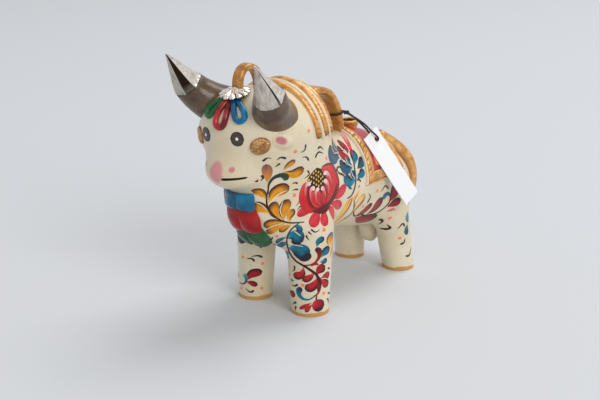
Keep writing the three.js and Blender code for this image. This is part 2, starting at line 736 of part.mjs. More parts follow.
// Neck straps: rounded strands laid over the crest, with plain ribs between them
const STRAP_END_ANGLE = 1.45;
const STRAP_SECTION = [[-1.9, SKIN_GAP], [1.9, SKIN_GAP], [2.0, 1.0], [1.2, 2.4], [-1.2, 2.4], [-2.0, 1.0]];
const RIB_SECTION = [[-1.2, SKIN_GAP], [1.2, SKIN_GAP], [1.2, 0.8], [0, 1.6], [-1.2, 0.8]];
const STRAP_STATIONS = 20;
const RIB_STATIONS = 18;
const STRAPS = [
  { name: "neck_strap_front", crestY: -11, endY: -3 },
  { name: "neck_strap_middle", crestY: 1, endY: 6 },
  { name: "neck_strap_rear", crestY: 11.5, endY: 14.5 },
];
const RIBS = [
  { name: "neck_rib_front", crestY: -5, endY: 1.5 },
  { name: "neck_rib_rear", crestY: 6.2, endY: 10.2 },
];
function overNeck({ crestY, endY }, section, stations) {
  const path = Array.from({ length: stations + 1 }, (_, n) => {
    const turn = (n / stations * 2 - 1) * STRAP_END_ANGLE;
    const y = THREE.MathUtils.lerp(crestY, endY, Math.abs(turn) / STRAP_END_ANGLE);
    return skinAlong(vec(0, y, NECK_HEART.z), vec(Math.sin(turn), 0, Math.cos(turn)));
  });
  return loftRings(sweepRings(path, (p) => normalAt(p), section, () => 1));
}

// Saddle cloth over the back: a raised border round a thinner field. Its places are given
// by the turn round the barrel, from straight up, and a share of the way from front to rear.
const CLOTH_FRONT_Y = 46;
const CLOTH_FRONT_CREST_Y = 52;
const CLOTH_REAR_Y = 97;
const CLOTH_HEART_Z = 62;
const CLOTH_EDGE_TURN = 1.3;
const CLOTH_RADIUS = 30;
const BORDER_WIDTH = 8.0;
const HEM_WIDTH = 5.5;
const BORDER_HEIGHT = 2.3;
const FIELD_HEIGHT = 1.3;
const FIELD_EDGE_TURN = CLOTH_EDGE_TURN - HEM_WIDTH / CLOTH_RADIUS;
const CLOTH_ACROSS = 14;         // faces over the back, and from front to rear
const BORDER_ALONG = 7;
const FIELD_ALONG = 5;
// Section of the border: share of the way from its outer to its inner edge, and height
const BORDER_PROFILE = [
  [0, SKIN_GAP], [0, BORDER_HEIGHT * 0.7], [0.25, BORDER_HEIGHT], [0.8, BORDER_HEIGHT],
  [1, BORDER_HEIGHT * 0.8], [1, SKIN_GAP], [0.5, SKIN_GAP],
];

function clothPoint(turn, share, inset, lift) {
  const bow = 1 - Math.abs(turn) / CLOTH_EDGE_TURN;
  const front = THREE.MathUtils.lerp(CLOTH_FRONT_Y, CLOTH_FRONT_CREST_Y, bow) + inset;
  const y = THREE.MathUtils.lerp(front, CLOTH_REAR_Y - inset, share);
  const skin = skinAlong(vec(0, y, CLOTH_HEART_Z), vec(Math.sin(turn), 0, Math.cos(turn)));
  return skin.addScaledVector(normalAt(skin), lift);
}

function saddleField() {
  const inset = BORDER_WIDTH + SEAT_GAP;
  const edge = FIELD_EDGE_TURN - SEAT_GAP / CLOTH_RADIUS;
  const run = (turn, lift) => Array.from({ length: FIELD_ALONG + 1 }, (_, n) => (
    clothPoint(turn, n / FIELD_ALONG, inset, lift)));
  const rows = Array.from({ length: CLOTH_ACROSS + 1 }, (_, n) => {
    const turn = (n / CLOTH_ACROSS * 2 - 1) * edge;
    return [...run(turn, SKIN_GAP), ...run(turn, FIELD_HEIGHT).reverse()];
  });
  return stripSolid(rows, FIELD_ALONG + 1).subtract(backClearance());
}

function saddleBorder() {
  const corner = [[CLOTH_EDGE_TURN, 0], [CLOTH_EDGE_TURN, 1], [-CLOTH_EDGE_TURN, 1], [-CLOTH_EDGE_TURN, 0]];
  const steps = [BORDER_ALONG, CLOTH_ACROSS, BORDER_ALONG, CLOTH_ACROSS];
  const rings = corner.flatMap(([turn, share], side) => {
    const [nextTurn, nextShare] = corner[(side + 1) % 4];
    return Array.from({ length: steps[side] }, (_, n) => {
      const way = n / steps[side];
      const outerTurn = THREE.MathUtils.lerp(turn, nextTurn, way);
      const innerTurn = outerTurn * FIELD_EDGE_TURN / CLOTH_EDGE_TURN;
      const along = THREE.MathUtils.lerp(share, nextShare, way);
      return BORDER_PROFILE.map(([into, lift]) => (
        clothPoint(THREE.MathUtils.lerp(outerTurn, innerTurn, into), along, BORDER_WIDTH * into, lift)));
    });
  });
  return loftRings(rings, true).subtract(backClearance());
}

// A closed slab from rows that hold a lower run and, turned round, an upper run
function stripSolid(rows, run) {
  const width = rows[0].length;
  const triangles = wallsBetween(rows, false);
  for (const [row, turn] of [[0, true], [rows.length - 1, false]]) {
    for (let n = 0; n < run - 1; n += 1) {
      const a = row * width + n;
      const b = a + 1;
      const c = row * width + (width - 2 - n);
      const d = row * width + (width - 1 - n);
      const faces = [[a, b, c], [a, c, d]];
      triangles.push(...faces.map(([p, q, r]) => (turn ? [p, r, q] : [p, q, r])));
    }
  }
  return solidFromFaces(rows.flat(), triangles);
}

// Room for the spout and the hind foot of the back handle, which stand on the clay
const SPOUT_CLEARANCE = 1.6;
const FOOT_ROOM = [18, 17, 60];
const FOOT_ROOM_CENTRE = [0, SPOUT_Y - 10, 100];
function backClearance() {
  const foot = boxSolid(...FOOT_ROOM, ...FOOT_ROOM_CENTRE);
  return spoutRoom(SPOUT_NECK + SPOUT_CLEARANCE, SPOUT_SIDES).add(foot);
}

// Tail: a thick strand that comes off the croup and lies over the left haunch
const TAIL_LINE = [
  vec(0, 100, 84), vec(2, 107, 79), vec(6, 116, 71), vec(10, 122, 62), vec(12.5, 123, 53), vec(14, 120, 45),
];
const TAIL_LIFT = 3.4;
const TAIL_STATIONS = 15;
const TAIL_SIDES = 10;
const TAIL_RADIUS = 3.0;
const TAIL_SWELL = 1.2;          // what the middle of the tail adds to that radius
const TAIL_SWELL_START = 0.15;
function tailSolid() {
  const path = smoothPath(TAIL_LINE, TAIL_STATIONS).map((p) => {
    const skin = onSkin(p);
    return skin.addScaledVector(normalAt(skin), TAIL_LIFT);
  });
  const radius = (share) => {
    const way = THREE.MathUtils.lerp(TAIL_SWELL_START, 1, share);
    return TAIL_RADIUS + TAIL_SWELL * Math.sin(Math.PI * way);
  };
  const rings = sweepRings(path, (p) => normalAt(p), roundSection(TAIL_SIDES, 1, 1), radius);
  const clothEnd = CLOTH_REAR_Y + SEAT_GAP;
  const underCloth = boxSolid(CUT_WIDTH, CUT_WIDTH, CUT_WIDTH, 0, clothEnd - CUT_WIDTH / 2, TAIL_LINE[0].z);
  return loftRings(rings).subtract(torsoSeat).subtract(underCloth);
}

// Dewlap: three tiers of paired lappets. A tier starts thin, swells to a round lower
// edge, and its lower edge hangs over the thin start of the tier below it.
const LAPPET_TIERS = [
  { name: "dewlap_blue", topZ: 81.5, lowZ: 70.2, half: 10.2, depth: 4.8, color: 0x1f6f9f },
  { name: "dewlap_red", topZ: 74.5, lowZ: 56.0, half: 12.6, depth: 4.8, color: 0xa52a30 },
  { name: "dewlap_green", topZ: 60.5, lowZ: 43.5, half: 16.8, depth: 4.6, color: 0x2b5a38 },
];
const TUCK_DEPTH = 1.5;          // thickness of a tier where it is tucked under the one above
const TUCK_LENGTH = 4.3;
const LAPPET_COLUMNS = 5;
const LAPPET_ROWS = 7;
const LAPPET_LEAST = 0.6;        // least thickness of the overhanging edge
const CHEST_DEPTH = 36;          // from the axis of the chest to its front
const CHEST_LOW_Z = 48;
function lappetPoint(half, side, across, z, lift) {
  const reach = side * THREE.MathUtils.lerp(SEAT_GAP / 2, half, across);
  const start = vec(0, 0, Math.max(z, CHEST_LOW_Z));
  const skin = skinAlong(start, vec(reach, -CHEST_DEPTH, z - start.z));
  return skin.addScaledVector(normalAt(skin), lift);
}

function lappetSolid(index, side) {
  const tier = LAPPET_TIERS[index];
  const isFirst = index === 0;
  const isLast = index === LAPPET_TIERS.length - 1;
  const startHalf = isFirst ? tier.half * 0.95 : LAPPET_TIERS[index - 1].half * 0.92;
  const span = tier.topZ - tier.lowZ;
  const tuck = isFirst ? 0 : TUCK_LENGTH;
  const hang = isLast ? 0 : TUCK_LENGTH;
  const layer = (down, isTop) => Array.from({ length: LAPPET_COLUMNS + 1 }, (_, n) => {
    const across = n / LAPPET_COLUMNS;
    const drop = down * span;
    const roundEnd = 1 - 0.13 * Math.abs(2 * across - 1) ** 3;
    const z = tier.topZ - drop * roundEnd;
    const half = THREE.MathUtils.lerp(startHalf, tier.half, Math.min(down * 1.6, 1));
    const over = THREE.MathUtils.clamp((drop - (span - hang) + 2.2) / 1.2, 0, 1);
    const under = SKIN_GAP + (isLast ? 0 : over * (TUCK_DEPTH + SEAT_GAP));
    if (!isTop) return lappetPoint(half, side, across, z, under);
    const free = isFirst ? 0.6 + 0.4 * down : THREE.MathUtils.smoothstep(drop, tuck + 0.8, tuck + 3.0);
    const edges = 1 - 0.8 * across ** 4 - 0.35 * (1 - across) ** 8;
    const lowEdge = 1 - 0.45 * Math.max(0, down - 0.84) / 0.16;
    const swell = THREE.MathUtils.lerp(TUCK_DEPTH, tier.depth * edges * lowEdge, free);
    return lappetPoint(half, side, across, z, Math.max(swell, under + LAPPET_LEAST));
  });
  const shares = Array.from({ length: LAPPET_ROWS + 1 }, (_, n) => n / LAPPET_ROWS);
  const rings = shares.map((down) => [...layer(down, false), ...layer(down, true).reverse()]);
  return stripSolid(rings, LAPPET_COLUMNS + 1);
}

// Tag: a bare card that leans on the left flank, hung by a hole near its upper end
const TAG_LENGTH = 53;
const TAG_WIDTH = 14;
const TAG_THICK = 0.6;
const TAG_HOLE_RADIUS = 2.0;
const TAG_HOLE_SEGMENTS = 8;
const TAG_HOLE_INSET = 6.2;
const TAG_HOLE_OFFSET = 2.1;     // from the middle of the width, towards the tail
const TAG_HOLE_PLACE = vec(24.5, 64.7, 95.7);
const TAG_DOWN = vec(0.35, 0.416, -0.84).normalize();
const TAG_ACROSS = vec(0.032, 0.89, 0.454);

function tagFrame() {
  const face = TAG_DOWN.clone().cross(TAG_ACROSS).normalize();
  const across = face.clone().cross(TAG_DOWN);
  return new THREE.Matrix4().makeBasis(TAG_DOWN, across, face).setPosition(TAG_HOLE_PLACE);
}

function tagGeometry() {
  const near = -TAG_WIDTH / 2 - TAG_HOLE_OFFSET;
  const far = near + TAG_WIDTH;
  const top = -TAG_HOLE_INSET;
  const low = top + TAG_LENGTH;
  const shape = new THREE.Shape([[top, near], [low, near], [low, far], [top, far]]
    .map(([down, across]) => new THREE.Vector2(down, across)));
  const hole = new THREE.Path();
  hole.absarc(0, 0, TAG_HOLE_RADIUS, 0, 2 * Math.PI, true);
  shape.holes.push(hole);
  const geometry = new THREE.ExtrudeGeometry(shape, {
    depth: TAG_THICK,
    bevelEnabled: false,
    curveSegments: TAG_HOLE_SEGMENTS,
  });
  geometry.translate(0, 0, -TAG_THICK / 2);
  return geometry.applyMatrix4(tagFrame());
}

// Cord of the tag: one turn round the hind leg of the back handle, a knot behind it, and
// a loop that comes over the tag's upper edge, goes in at the front of the hole and
// returns behind the tag. The loop's points are given from the knot and back to it.
const CORD_RADIUS = 0.6;
const CORD_SIDES = 8;
const CORD_STEP = 5 * CORD_RADIUS;
const KNOT_PLACE = vec(8.9, 53.2, 112.6);
const KNOT_RADII = [1.9, 1.6, 1.5];
const LOOP_FROM_KNOT = [
  vec(9.6, 52.8, 112.4), vec(12.6, 54.2, 110.7), vec(16.0, 56.3, 108.3), vec(19.6, 58.4, 105.4),
  vec(23.0, 59.9, 101.9),
];
const LOOP_BACK_TO_KNOT = [
  vec(20.5, 60.9, 100.8), vec(17.6, 59.6, 104.0), vec(14.6, 57.9, 107.3), vec(11.8, 55.9, 110.3),
  vec(9.3, 54.1, 112.2),
];
// Round the hole, in the tag's own frame: down, across, out from the face
const LOOP_AT_HOLE = [
  vec(-4.1, -1.3, 2.6), vec(-1.3, -0.6, 2.5), vec(0.6, 0, 1.1), vec(0.7, 0.1, -0.4),
  vec(-1.2, 0, -1.6), vec(-4.2, -0.9, -1.7),
];

function cordTube(points) {
  const curve = new THREE.CatmullRomCurve3(points, false, "centripetal");
  const shape = new THREE.Shape();
  shape.absarc(0, 0, CORD_RADIUS, 0, 2 * Math.PI, false);
  return new THREE.ExtrudeGeometry(shape, {
    steps: Math.ceil(curve.getLength() / CORD_STEP),
    extrudePath: curve,
    curveSegments: CORD_SIDES / 2,
    bevelEnabled: false,
  });
}

function knotSolid(grow) {
  const geometry = new THREE.SphereGeometry(1, 10, 6);
  geometry.scale(KNOT_RADII[0] + grow, KNOT_RADII[1] + grow, KNOT_RADII[2] + grow);
  geometry.translate(...KNOT_PLACE.toArray());
  return solidOf(geometry);
}

function tagCord() {
  const hole = LOOP_AT_HOLE.map((p) => p.clone().applyMatrix4(tagFrame()));
  const route = [...LOOP_FROM_KNOT, ...hole, ...LOOP_BACK_TO_KNOT];
  return solidOf(cordTube(route)).subtract(knotSolid(SEAT_GAP));
}

// The turn of cord follows the handle's section, a little higher on the knot's side
const WRAP_Z = 111.2;
const WRAP_SLOPE = 0.2;
const WRAP_STATIONS = 16;
const WRAP_SQUARENESS = 0.55;    // power that turns an ellipse towards the handle's section
const WRAP_SLACK = 0.15;
function cordWrap() {
  const path = smoothPath(BACK_HANDLE, HANDLE_STATIONS);
  const near = path.findIndex((p, n) => n > path.length / 2 && p.z < WRAP_Z);
  const ahead = path[near].clone().sub(path[near - 1]).normalize();
  const share = (WRAP_Z - path[near].z) / (path[near - 1].z - path[near].z);
  const heart = path[near].clone().lerp(path[near - 1], share);
  const out = vec(1, 0, 0).cross(ahead);
  const spare = CORD_RADIUS + SEAT_GAP;
  const squared = (value, half) => Math.sign(value) * Math.abs(value) ** WRAP_SQUARENESS * half;
  const ring = Array.from({ length: WRAP_STATIONS }, (_, n) => {
    const turn = (n / WRAP_STATIONS) * 2 * Math.PI;
    const x = squared(Math.cos(turn), BACK_HANDLE_HALF_WIDTH + spare);
    return heart.clone()
      .add(vec(x, 0, 0))
      .addScaledVector(ahead, -x * WRAP_SLOPE)
      .addScaledVector(out, squared(Math.sin(turn), HANDLE_HALF_THICK + spare + WRAP_SLACK));
  });
  const section = roundSection(CORD_SIDES, CORD_RADIUS, CORD_RADIUS);
  const tube = sweepRings(ring, (p) => p.clone().sub(heart), section, () => 1, true);
  return loftRings(tube, true).subtract(knotSolid(SEAT_GAP));
}

const root = new THREE.Group();
export default root;

// Finishes, each made anew for every piece that wears it
const CLAY = { color: 0xdcd2b9, roughness: 0.3 };
const GOLD = { color: 0xd7a055, roughness: 0.35, metalness: 0.6 };
const CLOTH = { color: 0xb8302c, roughness: 0.4 };
const HORN = { color: 0x64554b, roughness: 0.2 };
const SILVER = { color: 0xc9c4bd, roughness: 0.25, metalness: 1 };
const CORD = { color: 0x2a2624, roughness: 0.6 };
const CARD = { color: 0xf2f1ee, roughness: 0.7 };
const GLAZE_ROUGHNESS = 0.3;

function addPiece(name, solid, finish) {
  const geometry = solid.isBufferGeometry ? solid : geometryOf(solid);
  const mesh = new THREE.Mesh(geometry, new THREE.MeshStandardMaterial(finish));
  mesh.name = name;
  mesh.position.y = -MIDDLE_Y;
  root.add(mesh);
}

function glazed(color) {
  return { color, roughness: GLAZE_ROUGHNESS };
}

addPiece("torso", torsoSolid(), CLAY);
addPiece("head", headSolid(), CLAY);
for (const leg of LEGS) addPiece(leg.name, legSolid(leg), CLAY);
addPiece("belly_boss", bellyBoss(), CLAY);
addPiece("ear_left", ear(1), CLAY);
addPiece("ear_right", ear(-1), CLAY);
addPiece("cheek_medallion_left", cheekMedallion(1), GOLD);
addPiece("cheek_medallion_right", cheekMedallion(-1), GOLD);
for (const ribbon of RIBBONS) addPiece(ribbon.name, foreheadRibbon(ribbon), glazed(ribbon.color));
addPiece("rosette", rosetteSolid(0).subtract(headSeat), SILVER);
addPiece("forehead_handle", foreheadHandle(), GOLD);
addPiece("back_handle", backHandle(), GOLD);
addPiece("spout_collar", spoutCollar(), GOLD);
for (const strap of STRAPS) addPiece(strap.name, overNeck(strap, STRAP_SECTION, STRAP_STATIONS), GOLD);
for (const rib of RIBS) addPiece(rib.name, overNeck(rib, RIB_SECTION, RIB_STATIONS), CLAY);
addPiece("saddle_field", saddleField(), CLOTH);
addPiece("saddle_border", saddleBorder(), GOLD);
addPiece("tail", tailSolid(), GOLD);
for (const [index, tier] of LAPPET_TIERS.entries()) {
  addPiece(`${tier.name}_left`, lappetSolid(index, 1), glazed(tier.color));
  addPiece(`${tier.name}_right`, lappetSolid(index, -1), glazed(tier.color));
}
addPiece("horn_left", leftHorn.horn, HORN);
addPiece("horn_right", rightHorn.horn, HORN);
addPiece("horn_tip_left", leftHorn.tip, SILVER);
addPiece("horn_tip_right", rightHorn.tip, SILVER);
addPiece("tag_cord_wrap", cordWrap(), CORD);
addPiece("tag_knot", knotSolid(0), CORD);
addPiece("tag_cord", tagCord(), CORD);
addPiece("tag", tagGeometry(), CARD);
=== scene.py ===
# %% [markdown]
# # A painted clay bull
# This lesson dresses a hand-built ceramic bull, 19 cm long. Its solids are loaded as a fixed
# frame, and everything that a potter, a painter and a metal worker would add is modelled over
# them: one smooth skin of clay, luted ropes and ribbons, glazed horns with pressed metal
# tips, brush strokes that follow the body, and a card tag on a thin cord.

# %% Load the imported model
import math

import bpy
import numpy as np
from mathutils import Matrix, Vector


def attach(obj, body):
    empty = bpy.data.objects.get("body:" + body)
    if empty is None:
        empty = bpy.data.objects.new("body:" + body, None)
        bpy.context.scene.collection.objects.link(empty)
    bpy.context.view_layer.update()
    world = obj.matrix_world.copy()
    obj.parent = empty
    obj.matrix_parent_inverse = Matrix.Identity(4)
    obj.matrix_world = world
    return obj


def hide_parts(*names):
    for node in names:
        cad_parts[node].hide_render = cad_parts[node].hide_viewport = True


MM = 0.001
SIDES = ((1, "left"), (-1, "right"))
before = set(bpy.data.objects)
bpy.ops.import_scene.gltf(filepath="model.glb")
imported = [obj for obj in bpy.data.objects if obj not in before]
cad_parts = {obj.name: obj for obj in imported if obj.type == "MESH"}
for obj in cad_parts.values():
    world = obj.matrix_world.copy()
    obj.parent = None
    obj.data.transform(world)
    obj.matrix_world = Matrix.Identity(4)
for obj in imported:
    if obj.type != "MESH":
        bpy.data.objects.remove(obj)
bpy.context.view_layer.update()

# %% [markdown]
# ## Camera
# The bull is seen from its front left, a little from above. A long lens keeps the far horn
# nearly as large as the near one, so the camera stands about 70 cm away.

# %% Stand the camera
CAMERA_PLACE = (0.42525, -0.55898, 0.270)
CAMERA_TURN = 38.0
CAMERA_DROP = 16.75
camera_data = bpy.data.cameras.new("camera")
camera_data.lens = 69.9
camera_data.sensor_width = 36.0
camera_data.clip_start = 0.01
camera = bpy.data.objects.new("camera", camera_data)
camera.location = CAMERA_PLACE
camera.rotation_euler = (math.radians(90 - CAMERA_DROP), 0, math.radians(CAMERA_TURN))
bpy.context.scene.collection.objects.link(camera)
bpy.context.scene.camera = camera
print("camera at", CAMERA_PLACE)

# %% [markdown]
# ## Small tools of the bench
# Most steps need the same few moves: let go of everything, pick one piece, apply its
# modifiers, open its mesh for editing, or start from a flat grid. They are written once here.

# %% Select, apply and name pieces
def let_go():
    if bpy.context.object and bpy.context.object.mode != "OBJECT":
        bpy.ops.object.mode_set(mode="OBJECT")
    bpy.ops.object.select_all(action="DESELECT")


def pick(*pieces):
    let_go()
    for piece in pieces:
        piece.select_set(True)
    bpy.context.view_layer.objects.active = pieces[0]


def settle(piece):
    """Turn the piece's modifiers, place and size into plain mesh."""
    pick(piece)
    for modifier in list(piece.modifiers):
        bpy.ops.object.modifier_apply(modifier=modifier.name)
    bpy.ops.object.transform_apply(location=True, rotation=True, scale=True)
    return piece


def named(piece, name):
    piece.name = name
    piece.data.name = name
    return piece


def coordinates(piece):
    flat = np.empty(len(piece.data.vertices) * 3)
    piece.data.vertices.foreach_get("co", flat)
    return flat.reshape(-1, 3) / MM


def move_points(piece, points):
    piece.data.vertices.foreach_set("co", (points * MM).astype(np.float32).ravel())
    piece.data.update()


def smooth_faces(piece, angle=180):
    pick(piece)
    if angle >= 180:
        bpy.ops.object.shade_smooth()
    else:
        bpy.ops.object.shade_smooth_by_angle(angle=math.radians(angle))


def open_mesh(piece):
    pick(piece)
    bpy.ops.object.mode_set(mode="EDIT")
    bpy.ops.mesh.select_all(action="SELECT")


def close_mesh():
    bpy.ops.object.mode_set(mode="OBJECT")


SEAM_MERGE = 0.00001


def face_outwards(piece):
    """Merge the seam's double points and turn every face outwards."""
    open_mesh(piece)
    bpy.ops.mesh.remove_doubles(threshold=SEAM_MERGE)
    bpy.ops.mesh.normals_make_consistent(inside=False)
    close_mesh()


def flat_grid(name, along, across):
    """A flat grid, and where each of its points lies in it, from 0 to 1 both ways."""
    let_go()
    bpy.ops.mesh.primitive_grid_add(x_subdivisions=along, y_subdivisions=across, size=MM)
    grid = named(bpy.context.object, name)
    return grid, np.clip(coordinates(grid)[:, :2] + 0.5, 0, 1)


def thicken(sheet, thickness):
    """Give a sheet a body below it, that many millimetres thick."""
    wall = sheet.modifiers.new("body", "SOLIDIFY")
    wall.thickness = thickness * MM
    wall.offset = -1
    settle(sheet)


# %% Lute a piece on
dressed = []


def lute(piece, slot, *nodes, body="bull", finish=None):
    """Let a piece ride on the frame in place of solids, and note the finish it takes."""
    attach(piece, body)
    if nodes:
        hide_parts(*nodes)
    dressed.append((piece, finish or slot))


# %% [markdown]
# ## The shape of the clay
# The potter starts from a hollow barrel and presses on a chest, a neck, a rump, a skull and a
# muzzle, and wipes the joins away. The same can be written as a rule: each lump is a squashed
# ball, and where two lumps meet the wiped join is a soft minimum of their distances. The rule
# gives the surface at any fineness, and it also says where a rope or a brush stroke touches.

# %% The rule of the body
LUMPS = [
    {"centre": (0, 12.6, 70), "half": (29.5, 58, 31), "wipe": 10},     # barrel
    {"centre": (0, -32.4, 77), "half": (30.5, 40, 38), "wipe": 12},    # chest
    {"centre": (0, -34.4, 106), "half": (29.5, 30, 34), "wipe": 12},   # neck
    {"centre": (0, 53.6, 57), "half": (27, 38.5, 25.5), "wipe": 14},   # rump
    {"centre": (0, -57.4, 113), "half": (32.5, 29, 26), "wipe": 10},   # skull
    {"centre": (0, -63.4, 121), "half": (26, 21, 17), "wipe": 8},      # brow
    {"centre": (0, -72.4, 95), "half": (18, 19.5, 12), "wipe": 9},     # muzzle
]
LEG_TOP = 52
LEG_WIPE = 9
FORE_Y, HIND_Y = -32.4, 67.4
LEGS = [
    {"foot": (21.7, FORE_Y), "top": (20.5, FORE_Y + 1), "foot_radius": 11.6, "top_radius": 14.5},
    {"foot": (-21.7, FORE_Y), "top": (-20.5, FORE_Y + 1), "foot_radius": 10.6, "top_radius": 12.8},
    {"foot": (20.1, HIND_Y), "top": (16.5, HIND_Y - 8), "foot_radius": 10.6, "top_radius": 12.5},
    {"foot": (-20.1, HIND_Y), "top": (-16.5, HIND_Y - 8), "foot_radius": 10.0, "top_radius": 12.5},
]


def soft_minimum(a, b, width):
    overlap = np.maximum(width - np.abs(a - b), 0) / width
    return np.minimum(a, b) - overlap ** 2 * width / 4


def lump_distance(points, lump):
    half = np.array(lump["half"], float)
    away = points - np.array(lump["centre"], float)
    scaled = np.linalg.norm(away / half, axis=1)
    slope = np.maximum(np.linalg.norm(away / half ** 2, axis=1), 1e-9)
    return scaled * (scaled - 1) / slope


def leg_distance(points, leg):
    rise = np.clip(points[:, 2] / LEG_TOP, 0, 1)
    foot, top = np.array(leg["foot"]), np.array(leg["top"])
    axis = foot + (top - foot) * rise[:, None]
    beyond = np.maximum(points[:, 2] - LEG_TOP, 0) + np.minimum(points[:, 2], 0)
    radius = leg["foot_radius"] + (leg["top_radius"] - leg["foot_radius"]) * rise
    across = np.linalg.norm(points[:, :2] - axis, axis=1)
    return np.hypot(across, beyond) - radius


def trunk_distance(points):
    distance = lump_distance(points, LUMPS[0])
    for lump in LUMPS[1:]:
        distance = soft_minimum(distance, lump_distance(points, lump), lump["wipe"])
    return distance


def body_distance(points):
    distance = trunk_distance(points)
    for leg in LEGS:
        distance = soft_minimum(distance, leg_distance(points, leg), LEG_WIPE)
    return distance


SLOPE_STEP = 0.05


def slope_of(points):
    slope = np.empty_like(points)
    for axis in range(3):
        shift = np.zeros(3)
        shift[axis] = SLOPE_STEP
        beyond, before = body_distance(points + shift), body_distance(points - shift)
        slope[:, axis] = (beyond - before) / (2 * SLOPE_STEP)
    return slope


def outward(points):
    slope = slope_of(points)
    return slope / np.linalg.norm(slope, axis=1)[:, None]


PULL_STEPS = 5
LEAST_STEEP = 0.05


def pulled(points):
    """Move points along the slope until they lie on the surface."""
    moved = np.array(points, float)
    for _ in range(PULL_STEPS):
        slope = slope_of(moved)
        steep = np.maximum((slope ** 2).sum(axis=1), LEAST_STEEP)
        moved -= slope * (body_distance(moved) / steep)[:, None]
    return moved


# %% [markdown]
# ## One skin of clay
# Balls and cones stand for the lumps. Joined and remeshed with a fine voxel they become one
# closed skin, and each of its points is then pulled on to the rule's surface, so the joins are
# wiped as on the real bull. The feet are cut level at the ground, where the bull stands.

# %% Press the lumps together
VOXEL = 1.3
SKIN_CREASE = 35


def add_lump(lump):
    bpy.ops.mesh.primitive_uv_sphere_add(segments=32, ring_count=16, radius=1,
                                         location=Vector(lump["centre"]) * MM)
    ball = bpy.context.object
    ball.scale = Vector(lump["half"]) * MM
    return settle(ball)


def add_leg(leg):
    depth = LEG_TOP + leg["foot_radius"]
    bpy.ops.mesh.primitive_cone_add(
        vertices=32, radius1=leg["foot_radius"] * MM, radius2=leg["top_radius"] * MM,
        depth=depth * MM, location=Vector((*leg["foot"], depth / 2 - leg["foot_radius"])) * MM)
    return settle(bpy.context.object)


def joined(pieces, name):
    pick(*pieces)
    bpy.ops.object.join()
    return named(bpy.context.object, name)


let_go()
clay_skin = joined([add_lump(lump) for lump in LUMPS] + [add_leg(leg) for leg in LEGS], "clay_skin")
remesh = clay_skin.modifiers.new("one skin", "REMESH")
remesh.mode = "VOXEL"
remesh.voxel_size = VOXEL * MM
settle(clay_skin)
relax = clay_skin.modifiers.new("relax", "SMOOTH")
relax.iterations = 4
settle(clay_skin)
move_points(clay_skin, pulled(coordinates(clay_skin)))
settle(clay_skin)
print("the skin has", len(clay_skin.data.polygons), "faces")

# %% Cut the feet level
open_mesh(clay_skin)
bpy.ops.mesh.bisect(plane_co=(0, 0, 0), plane_no=(0, 0, 1), use_fill=True, clear_inner=True)
close_mesh()
smooth_faces(clay_skin, SKIN_CREASE)
print("the lowest point is", round(coordinates(clay_skin)[:, 2].min(), 3), "mm")

# %% Ride on the frame
SKIN_NODES = ["torso", "head", "leg_front_left", "leg_front_right", "leg_rear_left",
              "leg_rear_right"]
lute(clay_skin, "clay_cream", *SKIN_NODES)
print("the skin stands for", len(SKIN_NODES), "solids")

# %% [markdown]
# ## Lines and rolled strands
# Most of what is luted on to the clay is a strand: a rope, a ribbon, a handle, a tail. On the
# bench a strand is a sheet of clay rolled up and pressed down. Here a flat grid is rolled round
# a line of evenly spaced places, its seam and its ends are merged, and a number called shade is
# kept on each point, so that a finish can go darker in the tooled creases and, as painted shade,
# on undersides and in hollows. A plate is the same grid, rolled from its middle over its rim and
# back below.

# %% Even places along a smooth line
def unit(ways):
    return ways / np.maximum(np.linalg.norm(ways, axis=1), 1e-9)[:, None]


def smooth_line(points, count, closed=False):
    """Evenly spaced places on a smooth line through a few given points."""
    points = np.array(points, float)
    if closed:
        padded = np.vstack([points[-1:], points, points[:2]])
    else:
        padded = np.vstack([2 * points[0] - points[1], points, 2 * points[-1] - points[-2]])
    share = np.linspace(0, 1, 16, endpoint=False)[:, None]
    dense = []
    for before, start, end, after in zip(padded, padded[1:], padded[2:], padded[3:]):
        dense.append(start + 0.5 * share * (end - before + share * (
            2 * before - 5 * start + 4 * end - after + share * (3 * (start - end) + after - before))))
    dense.append(padded[-2:-1])
    dense = np.vstack(dense)
    steps = np.linalg.norm(np.diff(dense, axis=0), axis=1)
    run = np.concatenate([[0], np.cumsum(steps)])
    return columns_at(dense, np.interp(np.linspace(0, run[-1], count), run, np.arange(len(run))))


def columns_at(rows, places):
    """Read a table of rows at places between its rows."""
    index = np.arange(len(rows))
    return np.column_stack([np.interp(places, index, rows[:, axis]) for axis in range(rows.shape[1])])


def length_of(line):
    return np.linalg.norm(np.diff(line, axis=0), axis=1).sum()


# %% Roll a flat grid into a strand
def keep_number(piece, title, values):
    numbers = piece.data.attributes.new(title, "FLOAT", "POINT")
    numbers.data.foreach_set("value", np.clip(values, 0, 1).astype(np.float32))


def rolled(name, along, around, place, shade=None, lip=None):
    """Roll a grid: place(share, turn) gives points in mm. Shade says how dark the glaze is on
    each of them, from creases and from painted shade, and lip where the clay is left bare."""
    strand, flat = flat_grid(name, along, around)
    share, turn = flat[:, 0], flat[:, 1] * 2 * math.pi
    keep_number(strand, "shade", shade(share, turn) if shade else np.zeros(len(share)))
    if lip:
        keep_number(strand, "lip", lip(share, turn))
    move_points(strand, place(share, turn))
    face_outwards(strand)
    smooth_faces(strand)
    return strand


def strand_along(name, line, ups, section, around, shade=None, step=0.6):
    """Press a strand along a line: section(share, turn) gives how far sideways and upwards."""
    ahead = np.gradient(line, axis=0)
    if np.allclose(line[0], line[-1], atol=0.001):
        ahead[0] = ahead[-1] = line[1] - line[-2]
    ahead = unit(ahead)
    ups = unit(ups - ahead * (ups * ahead).sum(axis=1)[:, None])
    sides = np.cross(ahead, ups)

    def place(share, turn):
        at = share * (len(line) - 1)
        sideways, upwards = section(share, turn)
        return (columns_at(line, at) + columns_at(sides, at) * sideways[:, None]
                + columns_at(ups, at) * upwards[:, None])
    return rolled(name, math.ceil(length_of(line) / step), around, place, shade)


